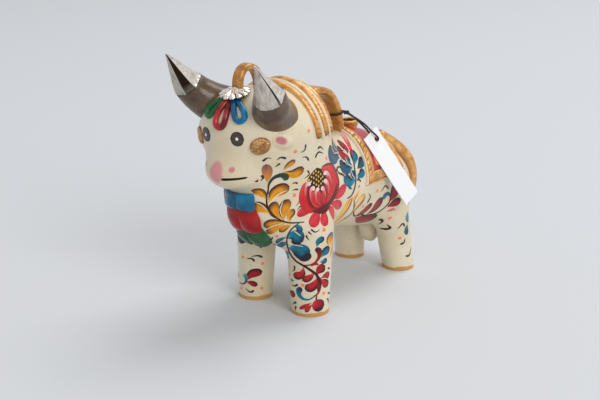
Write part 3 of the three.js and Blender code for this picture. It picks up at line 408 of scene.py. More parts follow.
def round_end(share, blunt):
    """1 along a strand, falling in a quarter circle to 0 over the blunt part of each half."""
    past = np.clip((np.abs(2 * share - 1) - 1 + blunt) / blunt, 0, 1)
    return np.sqrt(1 - past ** 2)


def shut_end(share):
    """1 along a strand and 0 at its very ends, where its rim closes on the line."""
    return np.where((share < 0.001) | (share > 0.999), 0, 1)


# %% Skin places for relief
WALK_STEPS = 40
WALK_SHARE = 0.8
MISS_GAP = 0.5


def traced(starts, ways, reach=70.0):
    """The outermost clay on each ray, found by walking inwards; a ray that misses is pulled on."""
    reaches = np.full(len(starts), reach)
    nearest = reaches.copy()
    least_gap = np.full(len(starts), np.inf)
    for _ in range(WALK_STEPS):
        gap = body_distance(starts + ways * reaches[:, None])
        closer = np.abs(gap) < least_gap
        nearest[closer] = reaches[closer]
        least_gap[closer] = np.abs(gap)[closer]
        reaches = np.maximum(reaches - WALK_SHARE * gap, 0)
    missed = int((least_gap > MISS_GAP).sum())
    if missed:
        print(missed, "rays passed the clay")
    return pulled(starts + ways * nearest[:, None])


def lifted(points, height):
    return points + outward(points) * np.reshape(height, (-1, 1))


RIM_SHARE = 0.85
SUNK = 0.8


def plate(name, centre, lengthways, half, height, shade, around=48):
    """A round plate pressed on the clay: height(reach, turn) with reach 0 at its centre.
    Past its rim the grid turns under, and closes below the middle, sunk in the clay."""
    centre = pulled(np.array([centre], float))
    up = outward(centre)[0]
    first = unit(np.array([lengthways - up * np.dot(lengthways, up)]))[0]
    second = np.cross(up, first)

    def reach_of(share):
        return np.clip(share / RIM_SHARE, 0, 1)

    def place(share, turn):
        reach = reach_of(share)
        flat = (centre + first * (np.cos(turn) * half[0] * reach)[:, None]
                + second * (np.sin(turn) * half[1] * reach)[:, None])
        under = np.clip((share - RIM_SHARE) / (1 - RIM_SHARE), 0, 1)
        top = height(reach, turn)
        pressed = lifted(pulled(flat), top + (-SUNK - top) * under)
        middle = lifted(pulled(centre), -SUNK)
        return np.where((share > 0.999)[:, None], middle, pressed)
    return rolled(name, 26, around, place, lambda share, turn: shade(reach_of(share), turn))

# %% [markdown]
# ## Ropes over the neck
# Three clay ropes lie over the crest, with a plain rib in each valley between them. The potter
# nicks a rope with a tool every few millimetres, so each nick is a narrow dent, and its shade is
# kept for the gold glaze, which pools there and is painted darker as painted shade. Each rope's
# underside is painted shade too, and the rope darkens towards its low ends. All of them are rolled
# on the same line over the neck: rays fan out from its heart, and meet the clay from one side to
# the other.

# %% Lines over the neck
NECK_HEART_Z = 106
STRAP_TURN = 1.45
STRAPS = {
    "neck_strap_front": (-43.4, -35.4),
    "neck_strap_middle": (-31.4, -26.4),
    "neck_strap_rear": (-20.9, -17.9),
}
RIBS = {
    "neck_rib_front": (-37.4, -30.9),
    "neck_rib_rear": (-26.2, -22.2),
}
STRAP_HALF = 2.05
STRAP_TOP = 2.5
NICK_PITCH = 2.9
RIB_HALF = 1.6
RIB_TOP = 1.7


def over_neck(crest_y, end_y, reach):
    count = 240
    turn = np.linspace(-reach, reach, count)
    starts = np.zeros((count, 3))
    starts[:, 1] = crest_y + (end_y - crest_y) * np.abs(turn) / STRAP_TURN
    starts[:, 2] = NECK_HEART_Z
    ways = np.column_stack([np.sin(turn), np.zeros(count), np.cos(turn)])
    return traced(starts, ways)


def nick(place, pitch, narrow):
    """1 in a nick, 0 between nicks."""
    return (1 - np.abs(np.sin(math.pi * place / pitch))) ** narrow


def roped(name, line):
    length = length_of(line)

    def lean(share, turn):
        rear_side = np.clip(0.95 - 0.75 * np.cos(turn), 0, 1)
        low_half = np.clip(np.abs(2 * share - 1) * 2.4 - 0.5, 0.45, 1)
        nicks = nick(share * length + 1.1 * np.cos(turn), NICK_PITCH, 3.2)
        return nicks * rear_side * low_half

    def section(share, turn):
        size = round_end(share, 2 * STRAP_HALF / length) * (1 - 0.13 * lean(share, turn))
        return np.cos(turn) * STRAP_HALF * size, 0.3 + np.sin(turn) * (STRAP_TOP - 0.3) * size

    # Dark in the nicks (pooled glaze and painted shade), painted shade on the underside, and darker towards
    # the low ends.
    def shade(share, turn):
        low_end = np.clip((np.abs(2 * share - 1) - 0.86) * 4, 0, 0.4)
        return 0.9 * lean(share, turn) + 0.35 * np.clip(-np.sin(turn) + 0.1, 0, 1) + low_end
    return strand_along(name, line, outward(line), section, 20, shade, step=0.34)


def ribbed(name, line):
    length = length_of(line)

    def section(share, turn):
        size = round_end(share, 3 * RIB_HALF / length)
        return np.cos(turn) * RIB_HALF * size, np.sin(turn) * RIB_TOP * size
    return strand_along(name, line, outward(line), section, 12, step=1.0)


ropes = [roped(f"{name}_rope", over_neck(*ys, STRAP_TURN)) for name, ys in STRAPS.items()]
ribs = [ribbed(f"{name}_ridge", over_neck(*ys, STRAP_TURN + 0.05)) for name, ys in RIBS.items()]
for name, rope in zip(STRAPS, ropes):
    lute(rope, "clay_gold", name)
for name, rib in zip(RIBS, ribs):
    lute(rib, "clay_cream", name)
print(len(ropes), "ropes and", len(ribs), "ribs over the neck")

# %% [markdown]
# ## Ribbons and rosette on the forehead
# Three glazed loops of clay hang from a pressed metal flower. Each loop is one round strand that
# leaves the flower, drops to a full tip and comes back beside itself. The flower is a disc:
# rolled from its middle over the rim and back below, with twelve petals that dip at their joins.

# %% Ribbon loops
ROSETTE_SPOT = np.array([0, -75.4, 140.0])
RIBBONS = {
    "forehead_ribbon_green": ((-14.0, -84.9, 127.0), "ribbon_green"),
    "forehead_ribbon_red": ((-0.8, -86.4, 120.8), "ribbon_red"),
    "forehead_ribbon_blue": ((13.6, -84.9, 126.8), "ribbon_blue"),
}
RIBBON_SPREAD = 4.2
RIBBON_TOP_SHARE, RIBBON_TIP_SHARE = 0.45, 1.2
RIBBON_MOUTH = 0.35
RIBBON_RADIUS = 1.75


def ribbon_line(tip):
    tip = np.array(tip)
    turn = np.linspace(RIBBON_MOUTH, 2 * math.pi - RIBBON_MOUTH, 80)
    along = (1 - np.cos(turn)) / 2
    across = np.cross(tip - ROSETTE_SPOT, (0, -1, 0.4))
    across /= np.linalg.norm(across)
    spread = RIBBON_TOP_SHARE + (RIBBON_TIP_SHARE - RIBBON_TOP_SHARE) * along ** 2
    share = 0.20 + 0.78 * along
    line = ROSETTE_SPOT + (tip - ROSETTE_SPOT) * share[:, None]
    line += across * (np.sin(turn) * RIBBON_SPREAD * spread)[:, None]
    return pulled(line)


def ribbon_section(share, turn):
    size = round_end(share, 0.08)
    return np.cos(turn) * RIBBON_RADIUS * size, 0.5 + np.sin(turn) * (RIBBON_RADIUS + 0.2) * size


# Painted shade: the underside of each ribbon is darker.
def ribbon_shade(share, turn):
    return np.clip(-np.sin(turn) * 0.9, 0, 1)


for node, (tip, slot) in RIBBONS.items():
    line = ribbon_line(tip)
    loop = strand_along(f"{node}_loop", line, outward(line), ribbon_section, 16, ribbon_shade)
    lute(loop, slot, node)
    print(node, "is", round(length_of(line)), "mm of strand")

# %% Pressed metal flower
PETALS = 12
FLOWER_RADIUS = 9.3
FLOWER_TILT = math.radians(14)
flower_base = pulled(ROSETTE_SPOT[None])[0] + (0, 0, 1.0)


def flower_place(share, turn):
    top = np.clip(share / 0.7, 0, 1)
    under = np.clip((share - 0.74) / 0.26, 0, 1)
    wave = np.abs(np.cos(turn * PETALS / 2)) ** 0.7
    rib = np.abs(np.cos(turn * PETALS * 1.5)) ** 0.5
    reach = top * (1 - under) * FLOWER_RADIUS
    reach = reach * (1 - 0.14 * (1 - wave) * top ** 2)
    button = 0.9 * np.exp(-(top / 0.2) ** 2)
    dome = 3.3 - 0.9 * top - 1.8 * np.clip(top - 0.62, 0, 1) ** 1.4 * 2.4
    fold = (1.5 * (1 - wave) + 0.25 * (1 - rib)) * np.sin(math.pi * np.clip(top, 0, 1)) ** 0.6
    height = np.where(share <= 0.7, dome + button - fold, dome - 0.7 - 2.4 * under)
    forward = -np.sin(turn) * reach
    return flower_base + np.column_stack([
        np.cos(turn) * reach, forward * math.cos(FLOWER_TILT) - height * math.sin(FLOWER_TILT),
        forward * math.sin(FLOWER_TILT) + height * math.cos(FLOWER_TILT)])


# Painted shade: dark in the gaps between the petals and under the rim.
def flower_shade(share, turn):
    wave = np.abs(np.cos(turn * PETALS / 2))
    gap = np.clip(1.25 - 2.1 * wave, 0, 1) * np.clip(share * 5 - 0.6, 0, 1)
    return np.maximum(gap, (share > 0.71) * 0.8)


flower = rolled("rosette_petals", 34, 120, flower_place, flower_shade)
lute(flower, "silver", "rosette")
print("the flower lies at", [round(value, 1) for value in flower_base])

# %% [markdown]
# ## Horns and their metal tips
# A horn is a stout cone of clay that bends upwards, dipped in dark glaze. Its tip is a cone of
# thin sheet metal, folded by hand, so it has flat facets, a sharp fold between them, and small
# dents that crowd near its lower edge. The horn and the tip share one line from the skull to the point.

# %% Horn line
HORN_POINTS = [(17.5, -59.4, 125), (23.8, -70.4, 131.5), (29.7, -79.9, 141), (32.4, -95.3, 160.9)]
HORN_COLLAR_Z = 141
HORN_ROOT_RADIUS, HORN_COLLAR_RADIUS = 13.0, 9.2
TIP_RADIUS, POINT_RADIUS = 9.7, 0.35


def horn_lines(side):
    line = smooth_line([(side * x, y, z) for x, y, z in HORN_POINTS], 160)
    collar = int(np.argmax(line[:, 2] >= HORN_COLLAR_Z))
    return line[:collar + 2], line[collar:]


def across_ups(line):
    """A steady way up for a strand that stands on nothing."""
    return np.tile([0.0, 1.0, 0.35], (len(line), 1))


def horn_section(share, turn):
    radius = HORN_ROOT_RADIUS + (HORN_COLLAR_RADIUS - HORN_ROOT_RADIUS) * share ** 1.15
    radius = radius * shut_end(share)
    return np.cos(turn) * radius, np.sin(turn) * radius


# %% Folded facets of the metal: where each starts, how flat it is and how dark its painted reflection is
FOLDS = {
    "left": [(2.30, 1.0, 0.0), (3.26, 0.2, 1.0), (3.42, 0.2, 0.30), (4.6, 0.5, 0.45), (5.5, 0.2, 0.3)],
    "right": [(2.30, 1.0, 0.0), (3.50, 0.9, 1.0), (4.28, 0.8, 0.45), (5.4, 0.2, 0.3), (6.9, 0.4, 0.6)],
}


def facets(turn, folds):
    """How far each facet lies inside the round cone, and how dark its painted reflection is."""
    starts = [row[0] for row in folds] + [folds[0][0] + 2 * math.pi]
    turn = np.mod(turn - starts[0], 2 * math.pi) + starts[0]
    inside = np.ones_like(turn)
    reflection_dark = np.zeros_like(turn)
    for (start, flat, dark), end in zip(folds, starts[1:]):
        here = (turn >= start) & (turn < end)
        chord = math.cos((end - start) / 2) / np.cos(turn - (start + end) / 2)
        inside[here] = (1 + flat * (chord - 1))[here]
        reflection_dark[here] = dark
    return inside, reflection_dark


def tip_section(folds):
    def section(share, turn):
        radius = TIP_RADIUS + (POINT_RADIUS - TIP_RADIUS) * share ** 0.94
        inside, _ = facets(turn, folds)
        crumple = np.exp(-share * 5)
        dents = 0.10 * np.sin(turn * 15 + share * 9) + 0.05 * np.sin(turn * 23 - share * 30)
        radius = (radius * inside + dents * crumple) * shut_end(share)
        return np.cos(turn) * radius, np.sin(turn) * radius
    return section


# Painted reflection: the darker facets stand for dark surroundings mirrored in the metal, and the narrow dark
# one on the left tip is painted shade in the fold. The metal is darker just above its lower rim.
def tip_painted_reflection_and_shade(folds):
    def shade(share, turn):
        _, dark = facets(turn, folds)
        closing = np.clip(share * 5, 0, 1)
        return np.where(dark > 0.9, 0.75 + 0.25 * closing, dark) + 0.3 * np.exp(-share * 40)
    return shade


for side, name in SIDES:
    horn_line, tip_line = horn_lines(side)
    horn = strand_along(f"horn_{name}_glazed", horn_line, across_ups(horn_line), horn_section, 48)
    lute(horn, "horn_glaze", f"horn_{name}")
    tip = strand_along(f"horn_tip_{name}_metal", tip_line, across_ups(tip_line),
                       tip_section(FOLDS[name]), 160, tip_painted_reflection_and_shade(FOLDS[name]), step=0.4)
    smooth_faces(tip, 12)
    lute(tip, "silver", f"horn_tip_{name}")
print("horn and tip are", round(length_of(horn_line)), "and", round(length_of(tip_line)), "mm long")

# %% [markdown]
# ## Medallions and ears
# A cheek medallion is a stamped oval of gold with a leaf's veins and a scalloped edge. An ear is
# a low bump with a shallow dish that the painter fills with pink. Both are round plates pressed
# on the clay, each with its own rule for the height.

# %% Stamped medallions
MEDALLION_PLACE, MEDALLION_HALF = np.array([22.3, -78.9, 112.5]), (6.1, 5.0)


def leaf_vein(reach, turn):
    """1 in the stamped veins: a curved middle vein and side veins that lean along it."""
    along, across = reach * np.cos(turn), reach * np.sin(turn)
    across = across - 0.25 * np.sin(along * 2.2)
    middle = np.exp(-(across / 0.07) ** 2)
    sides = np.clip(np.sin(along * 13 + np.abs(across) * 11) * 1.6 - 0.9, 0, 1) * (np.abs(across) < 0.75)
    return np.maximum(middle, sides) * np.clip(6 - 6.6 * reach, 0, 1)


def medallion_height(reach, turn):
    scallop = 0.5 + 0.5 * np.cos(turn * 18)
    dome = 2.0 * np.sqrt(np.clip(1 - reach ** 4, 0, 1))
    return dome - 0.35 * leaf_vein(reach, turn) + 0.3 * scallop * reach ** 3 - 0.2


# Dark in the stamped veins (pooled glaze and painted shade), and painted shade round the rim and under it.
def medallion_shade(reach, turn):
    return 0.55 * leaf_vein(reach, turn) + np.clip(reach - 0.93, 0, 1) * 9


EAR_PLACE, EAR_HALF = np.array([31.4, -68.6, 114.6]), (6.2, 8.2)
EAR_TOP = 3.4
DISH_FORWARD = 0.30
DISH_HALF = (0.42, 0.46)


def in_dish(reach, turn, side):
    """1 in the middle of the dish, 0 at its edge."""
    upward, forward = reach * np.cos(turn), side * reach * np.sin(turn)
    away = np.hypot(upward / DISH_HALF[0], (forward - DISH_FORWARD) / DISH_HALF[1])
    return np.clip(1 - away, 0, 1)


def ear_height(side):
    def height(reach, turn):
        bump = (0.5 + 0.5 * np.cos(math.pi * np.clip(reach, 0, 1))) ** 0.8
        return EAR_TOP * bump - 0.12 - 1.5 * in_dish(reach, turn, side) ** 0.7
    return height


def ear_shade(side):
    return lambda reach, turn: np.clip(in_dish(reach, turn, side) * 2.6, 0, 1)


for side, name in SIDES:
    medallion = plate(f"cheek_medallion_{name}_stamped", MEDALLION_PLACE * (side, 1, 1),
                      np.array([side, 0.5, 0.35]), MEDALLION_HALF, medallion_height,
                      medallion_shade, around=96)
    lute(medallion, "clay_gold", f"cheek_medallion_{name}", finish="medallion_gold")
    ear = plate(f"ear_{name}_dished", EAR_PLACE * (side, 1, 1), np.array([0, 0.35, 0.95]),
                EAR_HALF, ear_height(side), ear_shade(side))
    lute(ear, "clay_cream", f"ear_{name}")
print("two medallions and two ears")

# %% [markdown]
# ## Handles
# Both handles are flat straps of clay, bent to an arch and smeared wide where they stand on the
# body. A strap is rolled with a squared section, a soft edge and a slight hollow, and its ends
# run a little way into the clay.

# %% Bend the straps
HANDLES = {
    "forehead_handle": ([(0, -70.4, 135), (0, -71.4, 145), (0, -68.4, 151), (0, -62.9, 152.6),
                         (0, -57.4, 150), (0, -53.9, 144), (0, -52.9, 135)], 3.3, 2.1),
    "back_handle": ([(0, -19.4, 121), (0, -11.9, 127.5), (0, -2.9, 129.6), (0, 8.6, 126.2),
                     (0, 16.3, 117.5), (0, 19.6, 109), (0, 21.1, 95)], 6.5, 2.6),
}


def squared(value, power):
    return np.sign(value) * np.abs(value) ** power


STRAP_FOOT = 0.38
FOOT_WIDER, FOOT_THICKER = 0.45, 0.35
STRAP_HOLLOW = 0.18


def strap_section(half_width, half_thick):
    def section(share, turn):
        foot = np.clip((np.abs(2 * share - 1) - 1 + STRAP_FOOT) / STRAP_FOOT, 0, 1) ** 2
        wide = half_width * (1 + FOOT_WIDER * foot)
        thick = half_thick * (1 + FOOT_THICKER * foot)
        end = shut_end(share)
        hollow = STRAP_HOLLOW * (1 - np.abs(np.cos(turn))) * np.sign(np.sin(turn))
        return (-squared(np.cos(turn), 0.5) * wide * end,
                (squared(np.sin(turn), 0.62) * thick - hollow) * end)
    return section


# Painted shade: the inner face of the arch is darker.
def strap_shade(share, turn):
    return np.clip(-np.sin(turn) * 1.6 - 0.2, 0, 1) * 0.3


handle_lines = {}
for name, (points, half_width, half_thick) in HANDLES.items():
    line = smooth_line(points, 140)
    handle_lines[name] = line
    ahead = unit(np.gradient(line, axis=0))
    ups = np.cross(np.array([1.0, 0, 0]), ahead)
    strap = strand_along(f"{name}_strap", line, ups, strap_section(half_width, half_thick),
                         32, strap_shade)
    lute(strap, "clay_gold", name, finish=f"{name}_gold")
    print(name, "is", round(length_of(line)), "mm of strap")

# %% [markdown]
# ## Saddle cloth
# The cloth is a thin red field inside a raised border. A place on it is given by its turn round
# the barrel and its share of the way from front to rear, so field and border are made on one
# rule. The border's outer lip is bare cream clay, its inner band is gold, nicked every 3 mm
# in front and pleated along the hem.

# %% Places on the cloth
CLOTH_FRONT_Y, CLOTH_CREST_Y, CLOTH_REAR_Y = 13.6, 19.6, 64.6
CLOTH_HEART_Z = 62
CLOTH_TURN = 1.3
CLOTH_RADIUS = 30
BAND_WIDTH = 8.0
HEM_WIDTH = 7.0
FIELD_TOP = 1.35
INNER_TURN = CLOTH_TURN - HEM_WIDTH / CLOTH_RADIUS


def cloth_skin(turn, share, inset):
    bow = 1 - np.abs(turn) / CLOTH_TURN
    front = CLOTH_FRONT_Y + (CLOTH_CREST_Y - CLOTH_FRONT_Y) * bow + inset
    y = front + (CLOTH_REAR_Y - inset - front) * share
    starts = np.column_stack([np.zeros_like(y), y, np.full_like(y, CLOTH_HEART_Z)])
    ways = np.column_stack([np.sin(turn), np.zeros_like(y), np.cos(turn)])
    return traced(starts, ways)


# %% Border round the cloth
CORNERS = np.array([(CLOTH_TURN, 0), (CLOTH_TURN, 1), (-CLOTH_TURN, 1), (-CLOTH_TURN, 0), (CLOTH_TURN, 0)])
CLOTH_LENGTH, CLOTH_ROUND = 51, 2 * CLOTH_TURN * CLOTH_RADIUS
ROUND_CLOTH = np.concatenate([[0], np.cumsum([CLOTH_LENGTH, CLOTH_ROUND] * 2)])
BAND_PROFILE = np.array([
    (0.00, -0.8), (0.00, 0.9), (0.04, 1.6), (0.09, 1.8), (0.14, 1.6), (0.18, 1.1), (0.21, 1.1),
    (0.28, 2.0), (0.45, 2.5), (0.75, 2.4), (0.92, 1.9), (1.00, 1.0), (1.00, -0.8), (0.50, -0.8),
    (0.00, -0.8),
])
LIP_SHARE = 0.19
CLOTH_CREASE = 50


def round_the_cloth(share):
    """Millimetres round the border, and the outer turn and share there."""
    run = share * ROUND_CLOTH[-1]
    return run, np.interp(run, ROUND_CLOTH, CORNERS[:, 0]), np.interp(run, ROUND_CLOTH, CORNERS[:, 1])


def band_profile(turn):
    at = turn / (2 * math.pi) * (len(BAND_PROFILE) - 1)
    profile = columns_at(BAND_PROFILE, at)
    return profile[:, 0], profile[:, 1]


def on_side(run, *sides):
    """1 along those sides of the cloth: 1 and 3 are its hems, 2 its rear and 4 its front."""
    return np.isin(np.searchsorted(ROUND_CLOTH, run, side="right"), sides).astype(float)


def band_nicks(run, into):
    on_band = np.clip((into - LIP_SHARE) * 8, 0, 1)
    front = nick(run, 3.0, 3.5) * on_side(run, 4) * np.clip(1.35 - 1.3 * into, 0, 1)
    pleat = nick(run + 1.2 * into, 2.6, 2.4) * on_side(run, 1, 3) * 0.8
    return (front + pleat) * on_band


def band_place(share, turn):
    run, outer_turn, along = round_the_cloth(share)
    into, height = band_profile(turn)
    inner_turn = outer_turn * INNER_TURN / CLOTH_TURN
    skin = cloth_skin(outer_turn + (inner_turn - outer_turn) * into, along, BAND_WIDTH * into)
    return lifted(skin, height - 0.5 * band_nicks(run, into) * (height > 0.5))


# Dark in the nicks and pleats (pooled glaze and painted shade), and painted shade on the band's low parts:
# the groove by the lip, the inner edge and the underside.
def band_shade(share, turn):
    run, _, _ = round_the_cloth(share)
    into, height = band_profile(turn)
    low = np.clip((1.6 - height) * 0.6, 0, 1) * (into > LIP_SHARE)
    return np.clip(band_nicks(run, into) + low, 0, 1)


def bare_lip(share, turn):
    """1 on the outer lip, in front and behind, where the clay is left cream."""
    run, _, _ = round_the_cloth(share)
    into, _ = band_profile(turn)
    return (into < LIP_SHARE) * on_side(run, 2, 4)


saddle_band = rolled("saddle_border_band", 640, 42, band_place, band_shade, bare_lip)
smooth_faces(saddle_band, CLOTH_CREASE)
lute(saddle_band, "clay_gold", "saddle_border")
print("the border is", round(ROUND_CLOTH[-1]), "mm round, with", len(saddle_band.data.polygons), "faces")

# %% Red field
FIELD_GAP = 0.3
FIELD_EDGE_TURN = INNER_TURN - FIELD_GAP / CLOTH_RADIUS


def on_field(turn, share):
    """Places on top of the red field."""
    return lifted(cloth_skin(turn, share, BAND_WIDTH + FIELD_GAP), FIELD_TOP)


saddle_cloth, flat = flat_grid("saddle_field_cloth", 70, 36)
move_points(saddle_cloth, on_field((2 * flat[:, 0] - 1) * FIELD_EDGE_TURN, flat[:, 1]))
thicken(saddle_cloth, FIELD_TOP + SUNK)
face_outwards(saddle_cloth)
smooth_faces(saddle_cloth, CLOTH_CREASE)
lute(saddle_cloth, "saddle_red", "saddle_field")
print("the cloth is", CLOTH_LENGTH, "by", round(CLOTH_ROUND), "mm with its border")

# %% [markdown]
# ## Tail, spout and boss
# The tail is a thick smooth strand laid over the haunch. The spout is turned: one closed outline
# of its wall goes round an upright axis. The boss under the belly is the solid's own form, its
# loose triangles merged and rounded off.

# %% Tail
TAIL_POINTS = [(0, 67.6, 84), (2, 74.6, 79), (6, 83.6, 71), (10, 89.6, 62), (12.5, 90.6, 53), (14, 87.6, 45)]
TAIL_RISE = 3.0
TAIL_RADIUS, TAIL_SWELL = 3.9, 1.7


def tail_section(share, turn):
    way = 0.15 + 0.85 * share
    radius = (TAIL_RADIUS + TAIL_SWELL * np.sin(math.pi * way)) * round_end(np.clip(share, 0.5, 1), 0.12)
    radius = np.where(share < 0.001, 0, radius)
    return np.cos(turn) * radius, np.sin(turn) * radius


# Painted shade: darker along the tail's underside.
def tail_shade(share, turn):
    return np.clip(0.25 - np.sin(turn), 0, 1) * 0.6


tail_line = lifted(pulled(smooth_line(TAIL_POINTS, 120)), TAIL_RISE)
tail = strand_along("tail_strand", tail_line, outward(tail_line), tail_section, 32, tail_shade)
lute(tail, "clay_gold", "tail")
print("the tail is", round(length_of(tail_line)), "mm long")

# %% Spout
SPOUT_Y = 35.1
SPOUT_BORE = 4.2
SPOUT_OUTLINE = [(4.2, 88), (7.4, 88), (7.2, 93), (6.0, 97), (5.9, 99.5), (6.6, 102), (7.2, 103.6),
                 (6.8, 104.4), (6.0, 104.6), (4.9, 104.3), (4.3, 103.4), (4.2, 98)]
spout_outline = smooth_line(SPOUT_OUTLINE, 72, closed=True)


def spout_wall(share):
    """Places round the outline of the wall: how far out and how high."""
    return columns_at(spout_outline, share * (len(spout_outline) - 1))


def spout_place(share, turn):
    profile = spout_wall(share)
    return np.column_stack([np.cos(turn) * profile[:, 0], SPOUT_Y + np.sin(turn) * profile[:, 0],
                            profile[:, 1]])


# Painted shade: dark inside the bore, and darker low on the collar where it meets the clay.
def spout_shade(share, turn):
    profile = spout_wall(share)
    return np.clip((5.2 - profile[:, 0]) * 1.2, 0, 1) + np.clip((96 - profile[:, 1]) / 6, 0, 1) * 0.6


spout = rolled("spout_collar_turned", 72, 48, spout_place, spout_shade)
lute(spout, "clay_gold", "spout_collar")
print("the spout's rim is", round(spout_outline[:, 1].max(), 1), "mm over the ground")

# %% Copies of solids, merged and rounded
def rounded_copy(node, name, sink):
    """Copy a solid's mesh, merge its loose triangles, round it off and press it in the clay."""
    piece = bpy.data.objects.new(name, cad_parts[node].data.copy())
    bpy.context.scene.collection.objects.link(piece)
    piece.data.materials.clear()
    face_outwards(piece)
    open_mesh(piece)
    bpy.ops.mesh.tris_convert_to_quads(face_threshold=math.radians(50), shape_threshold=math.radians(60))
    close_mesh()
    rounding = piece.modifiers.new("rounding", "SUBSURF")
    rounding.levels = rounding.render_levels = 2
    settle(piece)
    points = coordinates(piece)
    move_points(piece, points - outward(points) * sink)
    smooth_faces(piece)
    return piece


boss = rounded_copy("belly_boss", "belly_boss_pressed", sink=0.9)
lute(boss, "clay_cream", "belly_boss")
print("the boss has", len(boss.data.polygons), "faces")

# %% [markdown]
# ## Dewlap
# Six glazed lappets hang down the chest in three tiers, blue over red over green. Each is a
# pillow of clay with a thin upper end tucked under the tier above. Their solids have the right
# form already, so copies of them are merged, rounded, widened until the two of a tier run into
# each other, and pressed on.

# %% Lappets
LAPPET_SINK, LAPPET_SPREAD, LAPPET_OVERLAP = 0.45, 1.09, 0.9
for colour in ("blue", "red", "green"):
    for side, name in SIDES:
        node = f"dewlap_{colour}_{name}"
        lappet = rounded_copy(node, f"{node}_pillow", sink=LAPPET_SINK)
        points = coordinates(lappet)
        points[:, 0] = points[:, 0] * LAPPET_SPREAD - LAPPET_OVERLAP * side
        move_points(lappet, points)
        lute(lappet, f"dewlap_{colour}", node)
print("six lappets")

# %% [markdown]
# ## Mouth and bore
# The mouth is a slit cut with a wire while the clay is soft. On this
# bull it opens to the left cheek only. A flat strand laid along it is the cutter, and a boolean
# takes it out of the skin. A rod does the same for the bore under the spout. The faces of both
# cuts are painted dark as painted shade.

# %% Cut the clay
MOUTH_PLACES = [(3.4, -91.3, 92.8), (7.4, -90.0, 93.2), (11.6, -87.3, 93.6), (15.9, -82.4, 94.2)]
MOUTH_HALF_HEIGHT = 0.9
MOUTH_DEPTH = 2.2
BORE_Z, BORE_DEPTH = 92, 24


def mouth_section(share, turn):
    size = round_end(share, 0.25) * (1 - 0.3 * share)
    return np.cos(turn) * MOUTH_HALF_HEIGHT * size, squared(np.sin(turn), 0.6) * MOUTH_DEPTH * size


def cut_from_skin(cutter):
    cut = clay_skin.modifiers.new("cut", "BOOLEAN")
    cut.operation = "DIFFERENCE"
    cut.solver = "EXACT"
    cut.material_mode = "TRANSFER"
    cut.object = cutter
    settle(clay_skin)
    bpy.data.objects.remove(cutter)


mouth_places = pulled(smooth_line(MOUTH_PLACES, 60))
mouth_cutter = strand_along("mouth cutter", mouth_places, outward(mouth_places), mouth_section, 12)
cut_painted_shade = bpy.data.materials.new("cut_painted_shade")
clay_skin.data.materials.append(bpy.data.materials.new("skin"))
mouth_cutter.data.materials.append(cut_painted_shade)
cut_from_skin(mouth_cutter)
let_go()
bpy.ops.mesh.primitive_cylinder_add(vertices=48, radius=SPOUT_BORE * MM, depth=BORE_DEPTH * MM,
                                    location=Vector((0, SPOUT_Y, BORE_Z)) * MM)
bore_cutter = settle(bpy.context.object)
bore_cutter.data.materials.append(cut_painted_shade)
cut_from_skin(bore_cutter)
smooth_faces(clay_skin, SKIN_CREASE)
print("the skin wears", [slot.name for slot in clay_skin.material_slots])

# %% [markdown]
# ## Tag and cord
# A bare card hangs from the back handle on a thin dark cord. One turn of cord goes round the
# handle's hind leg and ends in a knot, and from the knot a loop runs over the card's edge, in at
# the front of its hole and back behind it. The loop is the part's one free cord: its diameter is
# given, its length is printed, and its route is a short list of places.

# %% Card frame
TAG_LENGTH, TAG_WIDTH, TAG_THICK = 53, 14, 0.6
HOLE_RADIUS = 2.0
HOLE_INSET, HOLE_OFFSET = 6.2, 2.1
HOLE_PLACE = np.array([24.5, 32.3, 95.7])
TAG_DOWN = unit(np.array([[0.35, 0.416, -0.84]]))[0]
TAG_FACE = unit(np.cross(TAG_DOWN, (0.032, 0.89, 0.454))[None])[0]
TAG_ACROSS = np.cross(TAG_FACE, TAG_DOWN)


def on_card(down, across, out):
    return (HOLE_PLACE + np.outer(down, TAG_DOWN) + np.outer(across, TAG_ACROSS)
            + np.outer(out, TAG_FACE))


# %% Card with its punched hole
CARD_TOP, CARD_FOOT = -HOLE_INSET, TAG_LENGTH - HOLE_INSET
CARD_FRONT = -TAG_WIDTH / 2 - HOLE_OFFSET
CARD_REAR = CARD_FRONT + TAG_WIDTH
CARD_EDGE = np.array([(CARD_TOP, CARD_FRONT), (CARD_FOOT, CARD_FRONT), (CARD_FOOT, CARD_REAR),
                      (CARD_TOP, CARD_REAR), (CARD_TOP, CARD_FRONT)])
CARD_ROUND = np.array([0, TAG_LENGTH, TAG_LENGTH + TAG_WIDTH, 2 * TAG_LENGTH + TAG_WIDTH,
                       2 * (TAG_LENGTH + TAG_WIDTH)])
CARD_PROFILE = np.array([(0, 0.5), (0.02, 1), (0.3, 1), (0.7, 1), (0.99, 1), (1, 2 / 3),
                         (1, -2 / 3), (0.99, -1), (0.7, -1), (0.3, -1), (0.02, -1),
                         (0, -0.5), (0, 0.5)])


def card_place(share, turn):
    profile = columns_at(CARD_PROFILE, share * (len(CARD_PROFILE) - 1))
    run = turn / (2 * math.pi) * CARD_ROUND[-1]
    edge = np.column_stack([np.interp(run, CARD_ROUND, CARD_EDGE[:, axis]) for axis in (0, 1)])
    hole = edge / np.linalg.norm(edge, axis=1)[:, None] * HOLE_RADIUS
    flat = hole + (edge - hole) * profile[:, :1]
    return on_card(flat[:, 0], flat[:, 1], profile[:, 1] * TAG_THICK / 2)


card = rolled("tag_card", 12, 268, card_place)
smooth_faces(card, 30)
lute(card, "card", "tag", body="hang_tag")
print("the card is", TAG_LENGTH, "by", TAG_WIDTH, "by", TAG_THICK, "mm")

